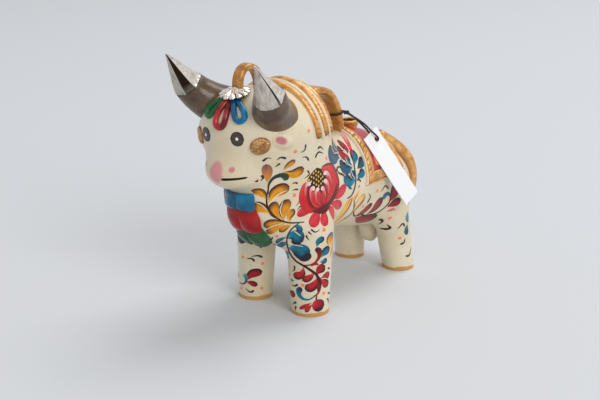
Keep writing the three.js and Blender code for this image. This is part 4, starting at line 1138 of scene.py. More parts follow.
# %% Cord loop
CORD_DIAMETER = 1.2
TWIST = 1.8
LOOP_FROM_KNOT = [(9.6, 20.4, 112.4), (12.6, 21.8, 110.7), (16.0, 23.9, 108.3), (19.6, 26.0, 105.4),
                  (23.0, 27.5, 101.9)]
LOOP_AT_HOLE = [(-4.1, -1.3, 2.6), (-1.3, -0.6, 2.5), (0.6, 0, 1.1), (0.7, 0.1, -0.4),
                (-1.2, 0, -1.6), (-4.2, -0.9, -1.7)]
LOOP_BACK_TO_KNOT = [(20.5, 28.5, 100.8), (17.6, 27.2, 104.0), (14.6, 25.5, 107.3), (11.8, 23.5, 110.3),
                     (9.3, 21.7, 112.2)]
loop_route = np.vstack([LOOP_FROM_KNOT, on_card(*np.array(LOOP_AT_HOLE).T), LOOP_BACK_TO_KNOT])
loop_line = smooth_line(loop_route, 40)


def plies(share, turn, twists):
    """1 on the crown of a ply, -1 between two plies."""
    return np.cos(3 * turn + share * 2 * math.pi * twists)


def cord_along(name, line, ups, step):
    """A strand of three plies that go once round in every twist."""
    twists = round(length_of(line) / TWIST)

    def section(share, turn):
        radius = CORD_DIAMETER / 2 * (1 + 0.10 * plies(share, turn, twists))
        return np.cos(turn) * radius, np.sin(turn) * radius

    # Painted shade between the plies.
    def shade(share, turn):
        return 0.5 - 0.5 * plies(share, turn, twists)
    return strand_along(name, line, ups, section, 12, shade, step)


def closed_ends(cord):
    """Close the two open ends of a cord with flat caps."""
    open_mesh(cord)
    bpy.ops.mesh.fill_holes(sides=0)
    bpy.ops.mesh.normals_make_consistent(inside=False)
    close_mesh()


tag_loop = cord_along("tag_cord_loop", loop_line, np.tile(TAG_ACROSS, (len(loop_line), 1)), 0.3)
closed_ends(tag_loop)
lute(tag_loop, "cord", "tag_cord", body="hang_tag")
print("the loop is", round(length_of(loop_line), 1), "mm of cord")

# %% Turn of cord round the handle, and its knot
WRAP_Z = 111.2
WRAP_SLOPE = 0.2
FOOT_SPREAD = 1.06
WRAP_OFF_EDGE, WRAP_OFF_FACE = 0.45, 0.75
KNOT_PLACE, KNOT_SIZE = np.array([8.9, 20.8, 112.6]), 0.62


def wrap_line():
    line = handle_lines["back_handle"]
    half = len(line) // 2
    near = half + int(np.argmin(np.abs(line[half:, 2] - WRAP_Z)))
    ahead = unit((line[near + 1] - line[near - 1])[None])[0]
    out = np.cross((1, 0, 0), ahead)
    turn = np.linspace(0, 2 * math.pi, 97)
    _, half_width, half_thick = HANDLES["back_handle"]
    wide = squared(np.cos(turn), 0.5) * (half_width * FOOT_SPREAD + WRAP_OFF_EDGE)
    deep = squared(np.sin(turn), 0.62) * (half_thick + WRAP_OFF_FACE)
    places = line[near] + np.outer(wide, (1, 0, 0)) + np.outer(-wide * WRAP_SLOPE, ahead)
    return places + np.outer(deep, out), line[near]


wrap_places, wrap_heart = wrap_line()
cord_turn = cord_along("tag_cord_turn", wrap_places, wrap_places - wrap_heart, 0.35)
lute(cord_turn, "cord", "tag_cord_wrap")
knot_turn = np.linspace(0, 2 * math.pi, 121)
knot_line = KNOT_PLACE + KNOT_SIZE * np.column_stack([
    np.sin(knot_turn) + 1.3 * np.sin(2 * knot_turn),
    np.cos(knot_turn) - 1.3 * np.cos(2 * knot_turn),
    -1.1 * np.sin(3 * knot_turn)])
knot = cord_along("tag_cord_knot", knot_line, knot_line - KNOT_PLACE + 0.01, 0.3)
lute(knot, "cord", "tag_knot")
print("the knot sits at", KNOT_PLACE)

# %% [markdown]
# ## Painting
# The painter works freehand with a loaded brush: one press makes a leaf, a petal or a comma, dark
# glaze on one side of the brush shades one edge of the stroke. Here each stroke is a fine grid,
# shaped by a centre line and a brush shape, coloured point by point in an attribute, and wrapped
# on the clay like paper round a tin. Strokes of one motif are joined and get a thin body, so
# each is a closed sheet of glaze that stands a few tenths of a millimetre over the clay.

# %% Sheets to paint on
ROUND = 35.0
SHEET_AXIS_Y = -32.0
QUARTER = ROUND * math.pi / 2


def flank_sheet(flat):
    """s runs round the chest from its middle, then back along a side; z is the height."""
    s, z = flat[:, 0], flat[:, 1]
    turn = np.clip(s / ROUND, -math.pi / 2, math.pi / 2)
    back = np.maximum(np.abs(s) - QUARTER, 0)
    starts = np.column_stack([np.zeros_like(s), SHEET_AXIS_Y + back, z])
    return traced(starts, np.column_stack([np.sin(turn), -np.cos(turn), np.zeros_like(s)]))


def leg_sheet(leg):
    def sheet(flat):
        turn = flat[:, 0] / leg["foot_radius"]
        starts = np.column_stack([np.full((len(flat), 2), leg["foot"]), flat[:, 1]])
        ways = np.column_stack([np.sin(turn), -np.cos(turn), np.zeros(len(flat))])
        return traced(starts, ways, 26.0)
    return sheet


def face_sheet(flat):
    """x to the bull's left and z upwards, seen from in front."""
    starts = np.column_stack([flat[:, 0], np.full(len(flat), -60.0), flat[:, 1]])
    return traced(starts, np.tile([0.0, -1.0, 0.0], (len(flat), 1)), 50.0)


def saddle_sheet(flat):
    """Millimetres round the barrel and from the cloth's front to its rear."""
    share = flat[:, 1] / (CLOTH_REAR_Y - CLOTH_FRONT_Y - 2 * BAND_WIDTH)
    return on_field(flat[:, 0] / CLOTH_RADIUS, share)


# %% Tones of glaze
def tone(red, green, blue):
    """An 8-bit screen colour as linear light."""
    return tuple((value / 255) ** 2.2 for value in (red, green, blue))


RED_DEEP, RED, RED_LIGHT = tone(112, 10, 20), tone(202, 34, 36), tone(228, 84, 80)
PINK, ROSE, WHITE = tone(214, 52, 68), tone(226, 116, 122), tone(246, 238, 226)
SEED, GOLD_DOT = tone(52, 20, 12), tone(222, 180, 64)
OCHRE, OCHRE_LIGHT, OCHRE_BROWN = tone(224, 146, 12), tone(246, 190, 62), tone(74, 34, 14)
PEACH, MAUVE, UMBER = tone(240, 172, 96), tone(112, 82, 78), tone(60, 28, 20)
TEAL, TEAL_LIGHT, TEAL_DARK = tone(0, 112, 138), tone(66, 166, 178), tone(30, 26, 48)
WINE, WINE_LIGHT, WINE_DARK = tone(160, 22, 34), tone(200, 54, 60), tone(56, 14, 24)
GREEN, GREEN_LIGHT = tone(8, 46, 26), tone(28, 88, 48)
INK, CORAL, BLUE_GREY = tone(40, 36, 30), tone(254, 132, 84), tone(52, 78, 110)


# %% Brush shapes
def leaf(share):
    return np.sin(math.pi * share) ** 0.75


LIFT_AT = 0.66


def petal(share):
    """Thin where the brush lands, full and round where it is lifted."""
    rise = np.sin(np.clip(share / LIFT_AT, 0, 1) * math.pi / 2) ** 1.2
    lift = np.clip((share - LIFT_AT) / (1 - LIFT_AT), 0, 1)
    return rise * np.sqrt(1 - lift ** 2)


def stem(share):
    return 0.4 + 0.6 * np.sin(math.pi * share) ** 0.6


def comma(share):
    """A round blob that runs out to a point."""
    return np.sqrt(np.clip(1 - (1 - np.clip(share / 0.16, 0, 1)) ** 2, 0, 1)) * (1 - share) ** 0.7


BALL_AT = 0.86


def hook(share):
    """A thin line that swells to a round ball."""
    ball = np.sqrt(np.clip(1 - ((share - BALL_AT) / (1 - BALL_AT)) ** 2, 0, 1))
    return np.where(share < BALL_AT, 0.16 + 0.84 * (share / BALL_AT) ** 2.4, ball)


def blob(share):
    return np.sqrt(np.clip(1 - (2 * share - 1) ** 2, 0, 1))


# %% One stroke
LAYER = 0.055
FIRST_LAYER = 0.10
GRID_STEP = 0.9
ROUTE_PLACES = 60
THINNEST = 0.03
STROKE_BODY = 0.45


def turned_left(ways):
    return np.column_stack([-ways[:, 1], ways[:, 0]])


def stroke_tones(share, side, tones, edge):
    """Tones from end to end, then the edge tone over one side (+1 left, -1 right of the way)."""
    at = share * (len(tones) - 1)
    colours = columns_at(np.array(tones, float), at)
    if edge:
        edge_side, edge_tone, reach = edge
        weight = np.clip((edge_side * side - 1 + 2 * reach) / (1.4 * reach), 0, 1)
        weight = weight[:, None] * np.clip(share * 5, 0, 1)[:, None]
        colours = colours * (1 - weight) + np.array(edge_tone) * weight
    return colours


def paint_stroke(sheet, layer, shape, half, route, tones, edge=None):
    line = smooth_line(route, ROUTE_PLACES)
    ahead = unit(np.gradient(line, axis=0))
    along = max(8, math.ceil(length_of(line) / GRID_STEP))
    across = max(4, math.ceil(2 * half / GRID_STEP))
    stroke, grid = flat_grid("stroke", along, across)
    share, side = grid[:, 0], 2 * grid[:, 1] - 1
    wide = np.maximum(shape(share) * half, THINNEST)
    at = share * (ROUTE_PLACES - 1)
    flat = columns_at(line, at) + columns_at(turned_left(ahead), at) * (side * wide)[:, None]
    move_points(stroke, lifted(sheet(flat), FIRST_LAYER + LAYER * layer))
    colours = np.column_stack([stroke_tones(share, side, tones, edge), np.ones(len(share))])
    paint = stroke.data.attributes.new("paint", "FLOAT_COLOR", "POINT")
    paint.data.foreach_set("color", colours.astype(np.float32).ravel())
    return stroke


# %% A motif of many strokes
def paint_motif(name, sheet, rows, slot="clay_cream"):
    """Paint rows of (layer, shape, half width, route, tones, edge) and join them."""
    motif = joined([paint_stroke(sheet, *row) for row in rows], name)
    thicken(motif, STROKE_BODY)
    smooth_faces(motif, 60)
    lute(motif, slot, finish="brush_paint")
    print(name, "has", len(rows), "strokes")


def mirrored_rows(rows, rise):
    """The same strokes on the other side of the bull."""
    turned = []
    for layer, shape, half, route, tones, *edge in rows:
        route = [(-s, z + rise) for s, z in route]
        edge = [(-edge[0][0], *edge[0][1:])] if edge else []
        turned.append((layer, shape, half, route, tones, *edge))
    return turned


def dots(places, colour, radius, layer=1):
    return [(layer, blob, radius, [(s - radius, z), (s + radius, z)], [colour])
            for s, z in places]


def commas(rows, half=0.75):
    return [(1, comma, half, route, [INK]) for route in rows]

# %% [markdown]
# ## The peony
# The largest motif is a half-open flower on the shoulder. Pink petals fan out below it, a dark
# cup holds a heart of seeds with golden dots, and red petals close round it, each loaded with
# white at its tip and drawn down to a dark base. It is painted in layers, from the back forwards.

# %% Paint the peony
DEEPEST = tone(84, 14, 28)
LOWER_PETALS = [
    (3.2, [(50, 68.5), (41, 68.6), (33, 66.2)]), (3.6, [(52, 68), (47.5, 63), (43, 57.8)]),
    (3.3, [(55, 67.5), (54.2, 62), (51.8, 57)]), (3.2, [(59, 67.5), (63.5, 63), (66.5, 57.6)]),
    (3.0, [(62, 68), (70, 65.5), (77.6, 61.8)]), (3.4, [(64, 70), (73, 71.5), (80.5, 74.8)]),
]
UPPER_PETALS = [
    (3.9, [(58, 66.8), (66, 70.5), (69.6, 79), (64.5, 88), (53, 91.6)], -1),
    (3.0, [(58, 67), (63, 73), (63.3, 80.5), (57.6, 87)], 1),
    (2.7, [(57, 67), (60.5, 73), (59.6, 79), (56.2, 82.2)], 1),
    (2.7, [(56, 67), (56, 72), (54.6, 78.6)], 1),
    (2.8, [(54.5, 67), (51.5, 72), (49.9, 78.6)], -1),
    (3.0, [(53, 67), (47.5, 71.5), (45.2, 80)], -1),
    (3.7, [(52, 67), (42.5, 68.5), (37.8, 76), (39, 85.6)], -1),
]
WHITE_TIPS = [
    [(42.8, 83.6), (40.4, 84.6), (38.6, 82), (38.4, 77)], [(46.4, 80), (44, 81.4), (42.6, 79), (43, 73)],
    [(50.8, 79.2), (48.4, 79.6), (47.4, 77), (49, 71)], [(52.4, 79.2), (54.6, 79.2), (56.4, 77), (57.4, 73)],
    [(55.2, 83.2), (57.4, 83), (60, 80), (60.6, 74)], [(55, 87.6), (57.6, 88), (62, 85), (64.6, 78.5)],
]
PALE_LINES = [
    [(51.5, 68.5), (45.5, 71), (42, 76)], [(53, 69), (49.6, 72), (47.8, 76.5)],
    [(55, 69), (53.4, 73), (52.4, 77)], [(57, 69), (57.8, 73), (57, 77.4)],
    [(58.5, 69), (61.8, 74.5), (61.4, 80.5)], [(60.5, 69.5), (66, 76), (65.6, 83)],
]
SEED_SPOTS = [(41.4, 86.6), (43.4, 88.2), (43.2, 85.4), (45.2, 90), (45.4, 87.2), (45.6, 84.2), (47.2, 91),
              (47.6, 88.6), (47.8, 85.8), (47.8, 82.8), (49.8, 90), (49.8, 87.4), (50, 84.4), (50.2, 81.6),
              (52, 88.4), (52.2, 85.6), (52.4, 82.6), (54.2, 86.4), (54.4, 83.6)]


def peony():
    rows = [(0, petal, half, route, [RED, PINK, PINK], (1, RED, 0.4)) for half, route in LOWER_PETALS]
    rows.append((1, blob, 11.8, [(37.4, 77.4), (54, 77), (70.6, 77.4)], [RED_DEEP]))
    rows.append((2, leaf, 8.6, [(49, 78.6), (48.9, 85), (48.6, 92.8)], [SEED]))
    for half, route, dark_side in UPPER_PETALS:
        rows.append((3, petal, half, route, [DEEPEST, RED, RED, RED_LIGHT], (dark_side, RED_DEEP, 0.3)))
    rows.append((4, leaf, 2.0, [(45, 66.8), (56, 66), (66, 70.6)], [RED_DEEP, DEEPEST, DEEPEST]))
    rows.append((4, leaf, 1.5, [(60, 67.5), (67, 72.5), (70, 79)], [DEEPEST, DEEPEST, RED_DEEP]))
    rows += [(4, comma, 1.5, route, [WHITE, ROSE, RED_LIGHT]) for route in WHITE_TIPS]
    rows += [(5, stem, 0.2, route, [RED_LIGHT, RED_LIGHT, ROSE]) for route in PALE_LINES]
    return rows + dots(SEED_SPOTS, GOLD_DOT, 0.72, 3)


paint_motif("peony_left", flank_sheet, peony())
paint_motif("peony_right", flank_sheet, mirrored_rows(peony(), 0.8))

# %% [markdown]
# ## Scrolls
# Two scrolls grow beside the peony: one with ochre leaves and a dark green hook, and under it
# one with teal leaves that runs on down the fore leg in red. A leaf is one press of a brush with
# dark glaze on one side, so it has a bright belly, a dark edge and a dark tip. Thin pale lines
# keep neighbouring leaves apart.

# %% Leaves of one press
CREAM_LINE, BRICK, TEAL_DEEP = tone(240, 230, 205), tone(186, 32, 38), tone(10, 84, 112)
DARK_REACH = 0.42
PALE_HALF = 0.26


def press_of(light, full, dark):
    """A brush loaded with three tones: each leaf it makes is dark on one side and at its tip."""
    def leafed(half, route, dark_side):
        return (1, petal, half, route, [light, full, full, dark], (dark_side, dark, DARK_REACH))
    return leafed


def pale_lines(routes):
    return [(3, stem, PALE_HALF, route, [CREAM_LINE]) for route in routes]


ochre = press_of(OCHRE_LIGHT, OCHRE, OCHRE_BROWN)
teal = press_of(TEAL_LIGHT, TEAL, TEAL_DARK)
deep = press_of(TEAL, TEAL_DEEP, TEAL_DARK)
wine = press_of(WINE_LIGHT, WINE, WINE_DARK)
red = press_of(RED_LIGHT, BRICK, WINE_DARK)

# %% Ochre and teal scrolls
OCHRE_SCROLL = [
    (2, stem, 0.5, [(16.6, 86), (15.4, 79), (15.8, 73), (18.5, 68), (23, 64), (29.5, 61.5), (39, 61)],
     [UMBER]),
    (2, hook, 2.1, [(16, 81), (16.8, 87), (19.4, 91.2), (23, 92.4), (25.6, 91), (25, 88.4)],
     [UMBER, GREEN, GREEN, GREEN_LIGHT]),
    ochre(1.9, [(24.2, 95.6), (26.6, 98.4), (30.4, 101.6)], 1),
    ochre(3.2, [(23.4, 94.6), (30, 92.2), (37.4, 94.4)], 1),
    (1, petal, 2.1, [(16.3, 88.6), (17.2, 94), (17.2, 101.4)], [OCHRE, tone(196, 118, 62), MAUVE]),
    ochre(3.6, [(16.2, 75.8), (20, 82), (28, 84.6)], 1),
    ochre(2.5, [(15.4, 77.4), (12.6, 82), (8.8, 83.8)], -1),
    ochre(3.3, [(16.6, 68.8), (12.6, 72.6), (7.6, 73.2)], -1),
    ochre(3.0, [(23.4, 63.6), (19, 70), (20, 76.4)], 1),
    ochre(3.3, [(24.6, 63.2), (24.4, 70.4), (27.6, 77)], 1),
    ochre(2.3, [(28.4, 62.2), (28.2, 66), (31, 70.6)], -1),
    ochre(2.9, [(25, 62.2), (18.6, 62.6), (12.6, 60)], -1),
    ochre(2.7, [(25.6, 61.6), (19.4, 59.4), (13.6, 55)], -1),
    ochre(2.2, [(30, 60.2), (25.6, 58.6), (21.4, 56)], 1),
]
OCHRE_LINES = [[(17.6, 76.6), (21.4, 80.4), (26.6, 82.4)], [(23.6, 66), (22.4, 71), (24, 76)],
               [(24, 61.8), (18.4, 60.6), (13.4, 57.8)], [(15.6, 71), (12.4, 74.6), (8.6, 76)]]
TEAL_SCROLL = [
    (2, stem, 0.6, [(35, 60.6), (30.5, 57.5), (27.6, 52.5), (27.5, 47), (30, 41), (34, 36.2), (39.5, 33),
                    (43, 30.5)], [UMBER, tone(60, 36, 50), WINE_DARK]),
    (2, hook, 1.9, [(38, 33.6), (42, 33.6), (46, 35.4), (48.4, 39), (48, 42.6), (45.6, 43.6)],
     [WINE_DARK, WINE, WINE_DARK]),
    teal(2.0, [(31.6, 58.6), (34.4, 58.2), (37.4, 54.6)], -1),
    teal(5.0, [(27.2, 49.8), (31.4, 52.2), (38.8, 48.8)], -1),
    teal(4.9, [(29.2, 42.6), (34.4, 43), (42.8, 40)], -1),
    (2, petal, 2.2, [(35.4, 38), (39.4, 37.6), (43.4, 41)], [TEAL_DARK]),
    teal(1.8, [(26.6, 51.6), (22.4, 49.4), (17.4, 46.4)], 1),
    teal(2.8, [(28.6, 46.8), (23.4, 45.2), (17.6, 42.6)], 1),
    teal(2.7, [(30.8, 39.6), (28.6, 36.8), (29.2, 33.4)], -1),
    teal(2.0, [(46.6, 44.8), (47.8, 48.4), (51.6, 50.2)], -1),
    teal(2.7, [(48.8, 37.6), (51.4, 40.6), (56.6, 42.8)], 1),
    teal(1.7, [(49, 35.6), (51.3, 35), (54.2, 36.2)], -1),
    (1, petal, 2.8, [(55.2, 44.2), (55.6, 48.2), (60.6, 50.2)], [OCHRE_LIGHT, OCHRE, BLUE_GREY],
     (1, BLUE_GREY, 0.35)),
    (1, petal, 2.0, [(55.8, 44.2), (58.2, 45.4), (61.6, 47.6)], [OCHRE_LIGHT, OCHRE]),
    (1, leaf, 1.0, [(57.4, 36.4), (59.2, 39.8), (61.4, 44.4)], [OCHRE]),
]
TEAL_LINES = [[(28.4, 46.6), (32.4, 46), (38.8, 45.4)], [(32, 55.6), (34, 54.4), (37, 52.2)],
              [(27, 49.4), (22.6, 48), (18, 44.8)], [(29.6, 41.8), (26.4, 41), (23.4, 40)],
              [(50.4, 36.6), (53, 38), (55.6, 38.6)]]
BREAST = [
    teal(2.0, [(2, 46.6), (-3.4, 45.2), (-8, 47)], 1),
    (1, leaf, 0.9, [(1, 47), (5, 45.6), (9, 46.6)], [TEAL_DARK, UMBER]),
]
OCHRE_SCROLL += pale_lines(OCHRE_LINES)
TEAL_SCROLL += pale_lines(TEAL_LINES)
paint_motif("scrolls_left", flank_sheet, OCHRE_SCROLL + TEAL_SCROLL + BREAST)
SHORT_STEM = (2, stem, 0.6, [(35, 60.6), (30.5, 57.5), (27.6, 52.5), (27.5, 47), (29.4, 43)], [UMBER])
RIGHT_TEAL = [SHORT_STEM] + TEAL_SCROLL[2:]
paint_motif("scrolls_right", flank_sheet, mirrored_rows(OCHRE_SCROLL + RIGHT_TEAL, 0.6))

# %% Fore legs
LEG_SPRIG = [
    (3, stem, 0.75, [(-1, 35.5), (4.4, 32.9), (8.6, 29.9), (11.6, 26.6), (13.6, 20.2), (12.1, 15.1),
                     (9.6, 13.7)], [WINE_DARK, WINE_DARK, WINE_DARK, WINE]),
    red(2.5, [(3.9, 32.4), (2.6, 27.4), (-3, 25)], 1),
    red(2.1, [(10, 29), (7.2, 25.8), (3, 23.6)], 1),
    red(3.1, [(11.6, 26.8), (9.6, 21), (4.6, 17.8)], 1),
    (2, leaf, 1.6, [(10.8, 27), (13, 23), (12.2, 16)], [WINE_DARK, WINE, WINE_DARK]),
    wine(3.0, [(10.8, 27.4), (13.4, 30.4), (16.6, 32.2)], -1),
    red(2.3, [(13.8, 24.8), (16.8, 25.4), (21, 25.6)], -1),
    red(2.6, [(13.8, 24), (16.2, 22), (19.4, 18.2)], 1),
    (1, leaf, 1.0, [(8, 33), (10, 34.6), (12.4, 33.6)], [WINE]),
    (2, hook, 2.1, [(11, 14.2), (6.7, 11.6), (3, 12), (0.7, 14.6), (1.2, 17.2), (3.2, 17.2)],
     [TEAL_DARK, TEAL, TEAL, TEAL_DARK]),
    (1, stem, 0.5, [(11.4, 14.1), (11.2, 11.4), (12, 9.6)], [WINE_DARK, WINE]),
    (2, blob, 4.0, [(8.6, 7.2), (12.6, 7.4), (16.8, 7)], [WINE_LIGHT, WINE, WINE_DARK], (-1, WINE_DARK, 0.5)),
    (1, petal, 1.2, [(8.7, 9.6), (5.2, 7.6), (0.9, 4.8)], [WINE_LIGHT, WINE]),
    (1, petal, 1.5, [(8.9, 8.4), (6.7, 6.2), (4.7, 3.2)], [WINE_LIGHT, WINE]),
    wine(2.2, [(-9.6, 13.6), (-6, 12.8), (-2, 13.4)], 1),
    *commas([[(-1.9, 32.2), (-2, 29.5), (-3.8, 27.6)], [(-5.5, 22.4), (-4, 21.8), (-2.6, 22.1)],
             [(0.4, 20.6), (-2.4, 18.8), (-5.3, 18.8)], [(-1.2, 8.6), (-3, 7.6), (-4.9, 5.9)],
             [(-1.6, 5.9), (-2.4, 4), (-2.5, 2.6)], [(19.1, 29.8), (20.4, 29.4), (21.6, 28.8)],
             [(20, 13.4), (22, 12.8), (23.6, 11.6)], [(19.4, 10), (21, 8.6), (21.4, 6.2)]]),
    *dots([(3.3, 20.6), (16.2, 14.5)], CORAL, 1.0),
    *dots([(-8.4, 24.2)], ROSE, 0.9),
    *pale_lines([[(11.2, 25.6), (8.6, 23.4), (5.4, 21.6)], [(14.2, 24.4), (17, 24), (20, 22.2)]]),
]
FRONT_SPRIG = [
    wine(2.8, [(1.4, 12.4), (5, 17.6), (11.4, 19.6)], 1),
    wine(1.8, [(1.4, 12), (5, 11.6), (8.6, 10)], 1),
    (2, hook, 1.6, [(-5, 9.8), (-2, 9.6), (1, 11.6), (1.6, 15), (-0.6, 16.4)],
     [TEAL_DARK, TEAL_DARK, TEAL, TEAL_LIGHT]),
    *dots([(-0.5, 28), (11.5, 24.5), (11, 8), (-3, 6.5)], CORAL, 0.9),
    *commas([[(11.5, 28.6), (9, 30), (5, 29.4)], [(7, 26), (5.4, 28), (2, 27.4)],
             [(6.5, 6.8), (4, 5.4), (1, 7.4)]]),
]
paint_motif("fore_leg_left", leg_sheet(LEGS[0]), LEG_SPRIG)
paint_motif("fore_leg_right", leg_sheet(LEGS[1]), FRONT_SPRIG)
OUTER_SPRIG = [(layer, shape, half, [(s - 15, z) for s, z in route], *rest)
               for layer, shape, half, route, *rest in mirrored_rows(LEG_SPRIG[1:15], 0.5)]
OUTER_SPRIG += [teal(1.8, [(-15.6, 34.6), (-12.8, 33.4), (-9.6, 34.8)], 1)]
paint_motif("fore_leg_right_outer", leg_sheet(LEGS[1]), OUTER_SPRIG)

# %% [markdown]
# ## Sprigs on the flanks
# Beside the saddle hang blue-green flowers with a long pink stroke, and under it a sprig runs
# back to the haunch in peach and wine red. Small ink commas and coral dots fill the ground
# between the motifs, as on the real bull.

# %% Flowers by the saddle
SADDLE_SPRIG = [
    deep(4.4, [(81.5, 93.4), (73.4, 93), (66.4, 96.6), (64.8, 103)], -1),
    teal(3.7, [(82, 94.8), (75.6, 97.4), (72.4, 104.2)], -1),
    deep(2.6, [(82.2, 95.6), (80, 99), (78.8, 103.4)], -1),
    wine(3.4, [(91.4, 90.4), (86, 91.6), (85.6, 97)], -1),
    wine(2.6, [(92, 91), (93.6, 94), (91.4, 98)], 1),
    *dots([(88.4, 94.2), (90.2, 93.2)], ROSE, 0.55, 3),
    deep(3.7, [(90.8, 83.4), (84.4, 83.6), (80.8, 86.6), (82, 90)], -1),
    teal(2.8, [(91.2, 84), (88.4, 87), (89.6, 91.6)], -1),
    teal(3.7, [(91, 75.4), (85.2, 75.8), (81.8, 78.6), (83.2, 81.8)], -1),
    deep(2.6, [(91.4, 76), (89.6, 79), (89.2, 82.2)], -1),
    teal(3.0, [(93.4, 84), (95.6, 88), (99.4, 91.6)], 1),
    deep(2.6, [(94.6, 82), (99.8, 84), (103.4, 87.2)], 1),
    teal(2.6, [(92.8, 78.2), (97, 78), (100.4, 80.6)], 1),
    teal(1.0, [(92.2, 75.8), (94, 76.6), (95.4, 78.8)], -1),
    teal(1.4, [(87.2, 70.8), (84.2, 73.2), (85.4, 76.8)], 1),
    teal(1.1, [(72, 92.8), (76.6, 93.2), (80, 91)], 1),
    (1, leaf, 1.4, [(105, 100.6), (102.4, 98.6), (98.9, 95.2), (95, 89)], [ROSE, PINK, PINK]),
    (2, stem, 0.3, [(104, 100.4), (101.4, 98.2), (98.6, 95.6)], [WHITE, ROSE]),
    (2, stem, 0.6, [(95.4, 90), (92.6, 83.6), (91.4, 78.2), (90, 72.7), (87, 67.4), (82.2, 66)],
     [BLUE_GREY, BLUE_GREY, INK]),
    *pale_lines([[(79, 94.8), (72.6, 96), (67.4, 100.6)], [(80, 95.8), (76.4, 98.2), (74.4, 102.6)],
                 [(90, 84.4), (87, 86.4), (87.4, 90)], [(90.4, 76.8), (88.4, 79.6), (88.6, 83)]]),
    *commas([[(71, 85.4), (75, 87.4), (79.4, 84.6)], [(79, 81), (77, 82.8), (75, 83.2)],
             [(77.8, 82), (73.7, 84.3), (72.1, 87.7)], [(36.7, 109.7), (36.6, 106.4), (33.6, 105.2)],
             [(46.6, 99), (50.2, 101.8), (55.9, 100.1)], [(49.3, 103.9), (52.4, 104.6), (56.1, 102.2)],
             [(41.1, 98.4), (38.4, 101.2), (35.1, 101.8)], [(25.6, 103.7), (23.2, 105), (21.5, 103.6)],
             [(95.6, 73.6), (94.4, 75.4), (91.8, 75.2)]]),
    *dots([(59, 96.5), (80.6, 81.5), (30, 107), (40, 116.5), (93.8, 71.2)], CORAL, 1.0),
    *commas([[(43, 56.4), (45.7, 54.4), (48.6, 55.6)], [(41.4, 55), (42.6, 53.8), (43.9, 52.8)],
             [(40.2, 52.9), (41, 51), (42.4, 49.4)],
             [(40.2, 92.8), (41.8, 90), (38, 88)], [(33.4, 85.6), (31.4, 86.4), (29.4, 85.8)],
             [(33.6, 82), (31.6, 82.4), (29.8, 81.8)], [(39.8, 73), (36.4, 76.4), (32, 72)],
             [(37.4, 70.4), (35, 71.4), (33, 69.4)], [(16.6, 51.9), (15, 49.6), (13.7, 47.2)],
             [(16.2, 44.7), (14.2, 44.2), (12.3, 44.7)],
             [(15.9, 103.2), (17.7, 105.3), (19.4, 104.8)], [(22.8, 101.1), (21.6, 99.8), (20.5, 98.8)],
             [(12.7, 90.5), (13.2, 91.4), (13.6, 92.1)], [(15, 94.7), (15.3, 92.6), (14.2, 90.7)]], 0.6),
    *dots([(31, 79), (51.6, 55), (19.6, 52.5)], CORAL, 1.1),
]
PALE_PEACH = tone(246, 206, 152)
FLANK_SPRIG = [
    (1, stem, 0.45, [(92.5, 66), (90.4, 63), (92.6, 57), (96, 52), (100.5, 49), (109.5, 48)],
     [UMBER, WINE_DARK]),
    (1, stem, 0.55, [(108, 47.6), (118, 45.6), (125.5, 46.6), (130.4, 50.4), (132, 55)], [INK, TEAL_DARK]),
    (1, petal, 3.6, [(77.6, 47.4), (81.8, 55), (86.4, 65.6)], [PEACH, OCHRE_LIGHT, PEACH], (-1, MAUVE, 0.35)),
    (1, petal, 3.8, [(92.6, 52), (95, 58), (100.6, 65)], [MAUVE, PEACH, OCHRE_LIGHT], (-1, MAUVE, 0.4)),
    (2, petal, 1.5, [(93, 54), (94.6, 59), (98.4, 64)], [PALE_PEACH]),
    (1, leaf, 1.2, [(87, 66.4), (89.6, 63.8), (94.6, 68.6)], [PEACH, OCHRE_LIGHT]),
    (1, leaf, 1.4, [(77.4, 43), (84, 47.4), (93.6, 52.6)], [OCHRE_LIGHT, PEACH, MAUVE]),
    wine(2.7, [(100.4, 48.6), (106.4, 50.6), (112.6, 55.4)], -1),
    wine(3.7, [(112.6, 47), (117.6, 50.8), (121.8, 57.4)], -1),
    wine(3.9, [(102.4, 47.2), (114.6, 43), (126.6, 41.2)], 1),
    wine(4.2, [(130.4, 51.6), (134, 56.8), (136.8, 63.6)], 1),
    wine(3.0, [(130.4, 48.2), (135.4, 50.2), (141, 51.4)], 1),
    (1, leaf, 1.0, [(132.6, 44.6), (135.4, 45.4), (138.4, 45.2)], [ROSE]),
    (2, hook, 2.1, [(130.6, 49.6), (131.6, 54.4), (128.6, 58.2), (124.6, 58), (124, 55.2)],
     [TEAL_DARK, TEAL_DARK, BLUE_GREY, TEAL]),
    (1, leaf, 1.9, [(150.4, 41), (149.6, 37), (150.8, 33.4)], [TEAL_LIGHT, TEAL]),
    teal(2.0, [(149.6, 33), (148.6, 29), (149.4, 25.4)], 1),
    *commas([[(106.5, 57), (108, 61), (105, 64)], [(128, 61.6), (124, 64.6), (119.4, 61.6)],
             [(131.6, 38.6), (134.6, 37), (135.6, 33.4)], [(137.4, 29.4), (139, 31.6), (137.4, 34)],
             [(147, 31.6), (145, 34), (142, 30.4)], [(144.4, 19.4), (147, 20.6), (147.6, 23.6)],
             [(148.6, 10.6), (152, 10.4), (154.4, 15.6)], [(152, 46), (154, 48.6), (152, 51)]]),
    *dots([(115, 63.4), (137, 39), (144, 24), (103, 55.5), (152.6, 57.6)], CORAL, 1.0),
]
paint_motif("flank_left", flank_sheet, SADDLE_SPRIG + FLANK_SPRIG)
paint_motif("flank_right", flank_sheet, mirrored_rows(SADDLE_SPRIG + FLANK_SPRIG, 0.7))

# %% [markdown]
# ## Face
# The eyes are dark discs with a white dot, painted on a sheet seen from in front. The pink nose
# and nostrils have soft edges, so they belong to the clay's own finish further down.

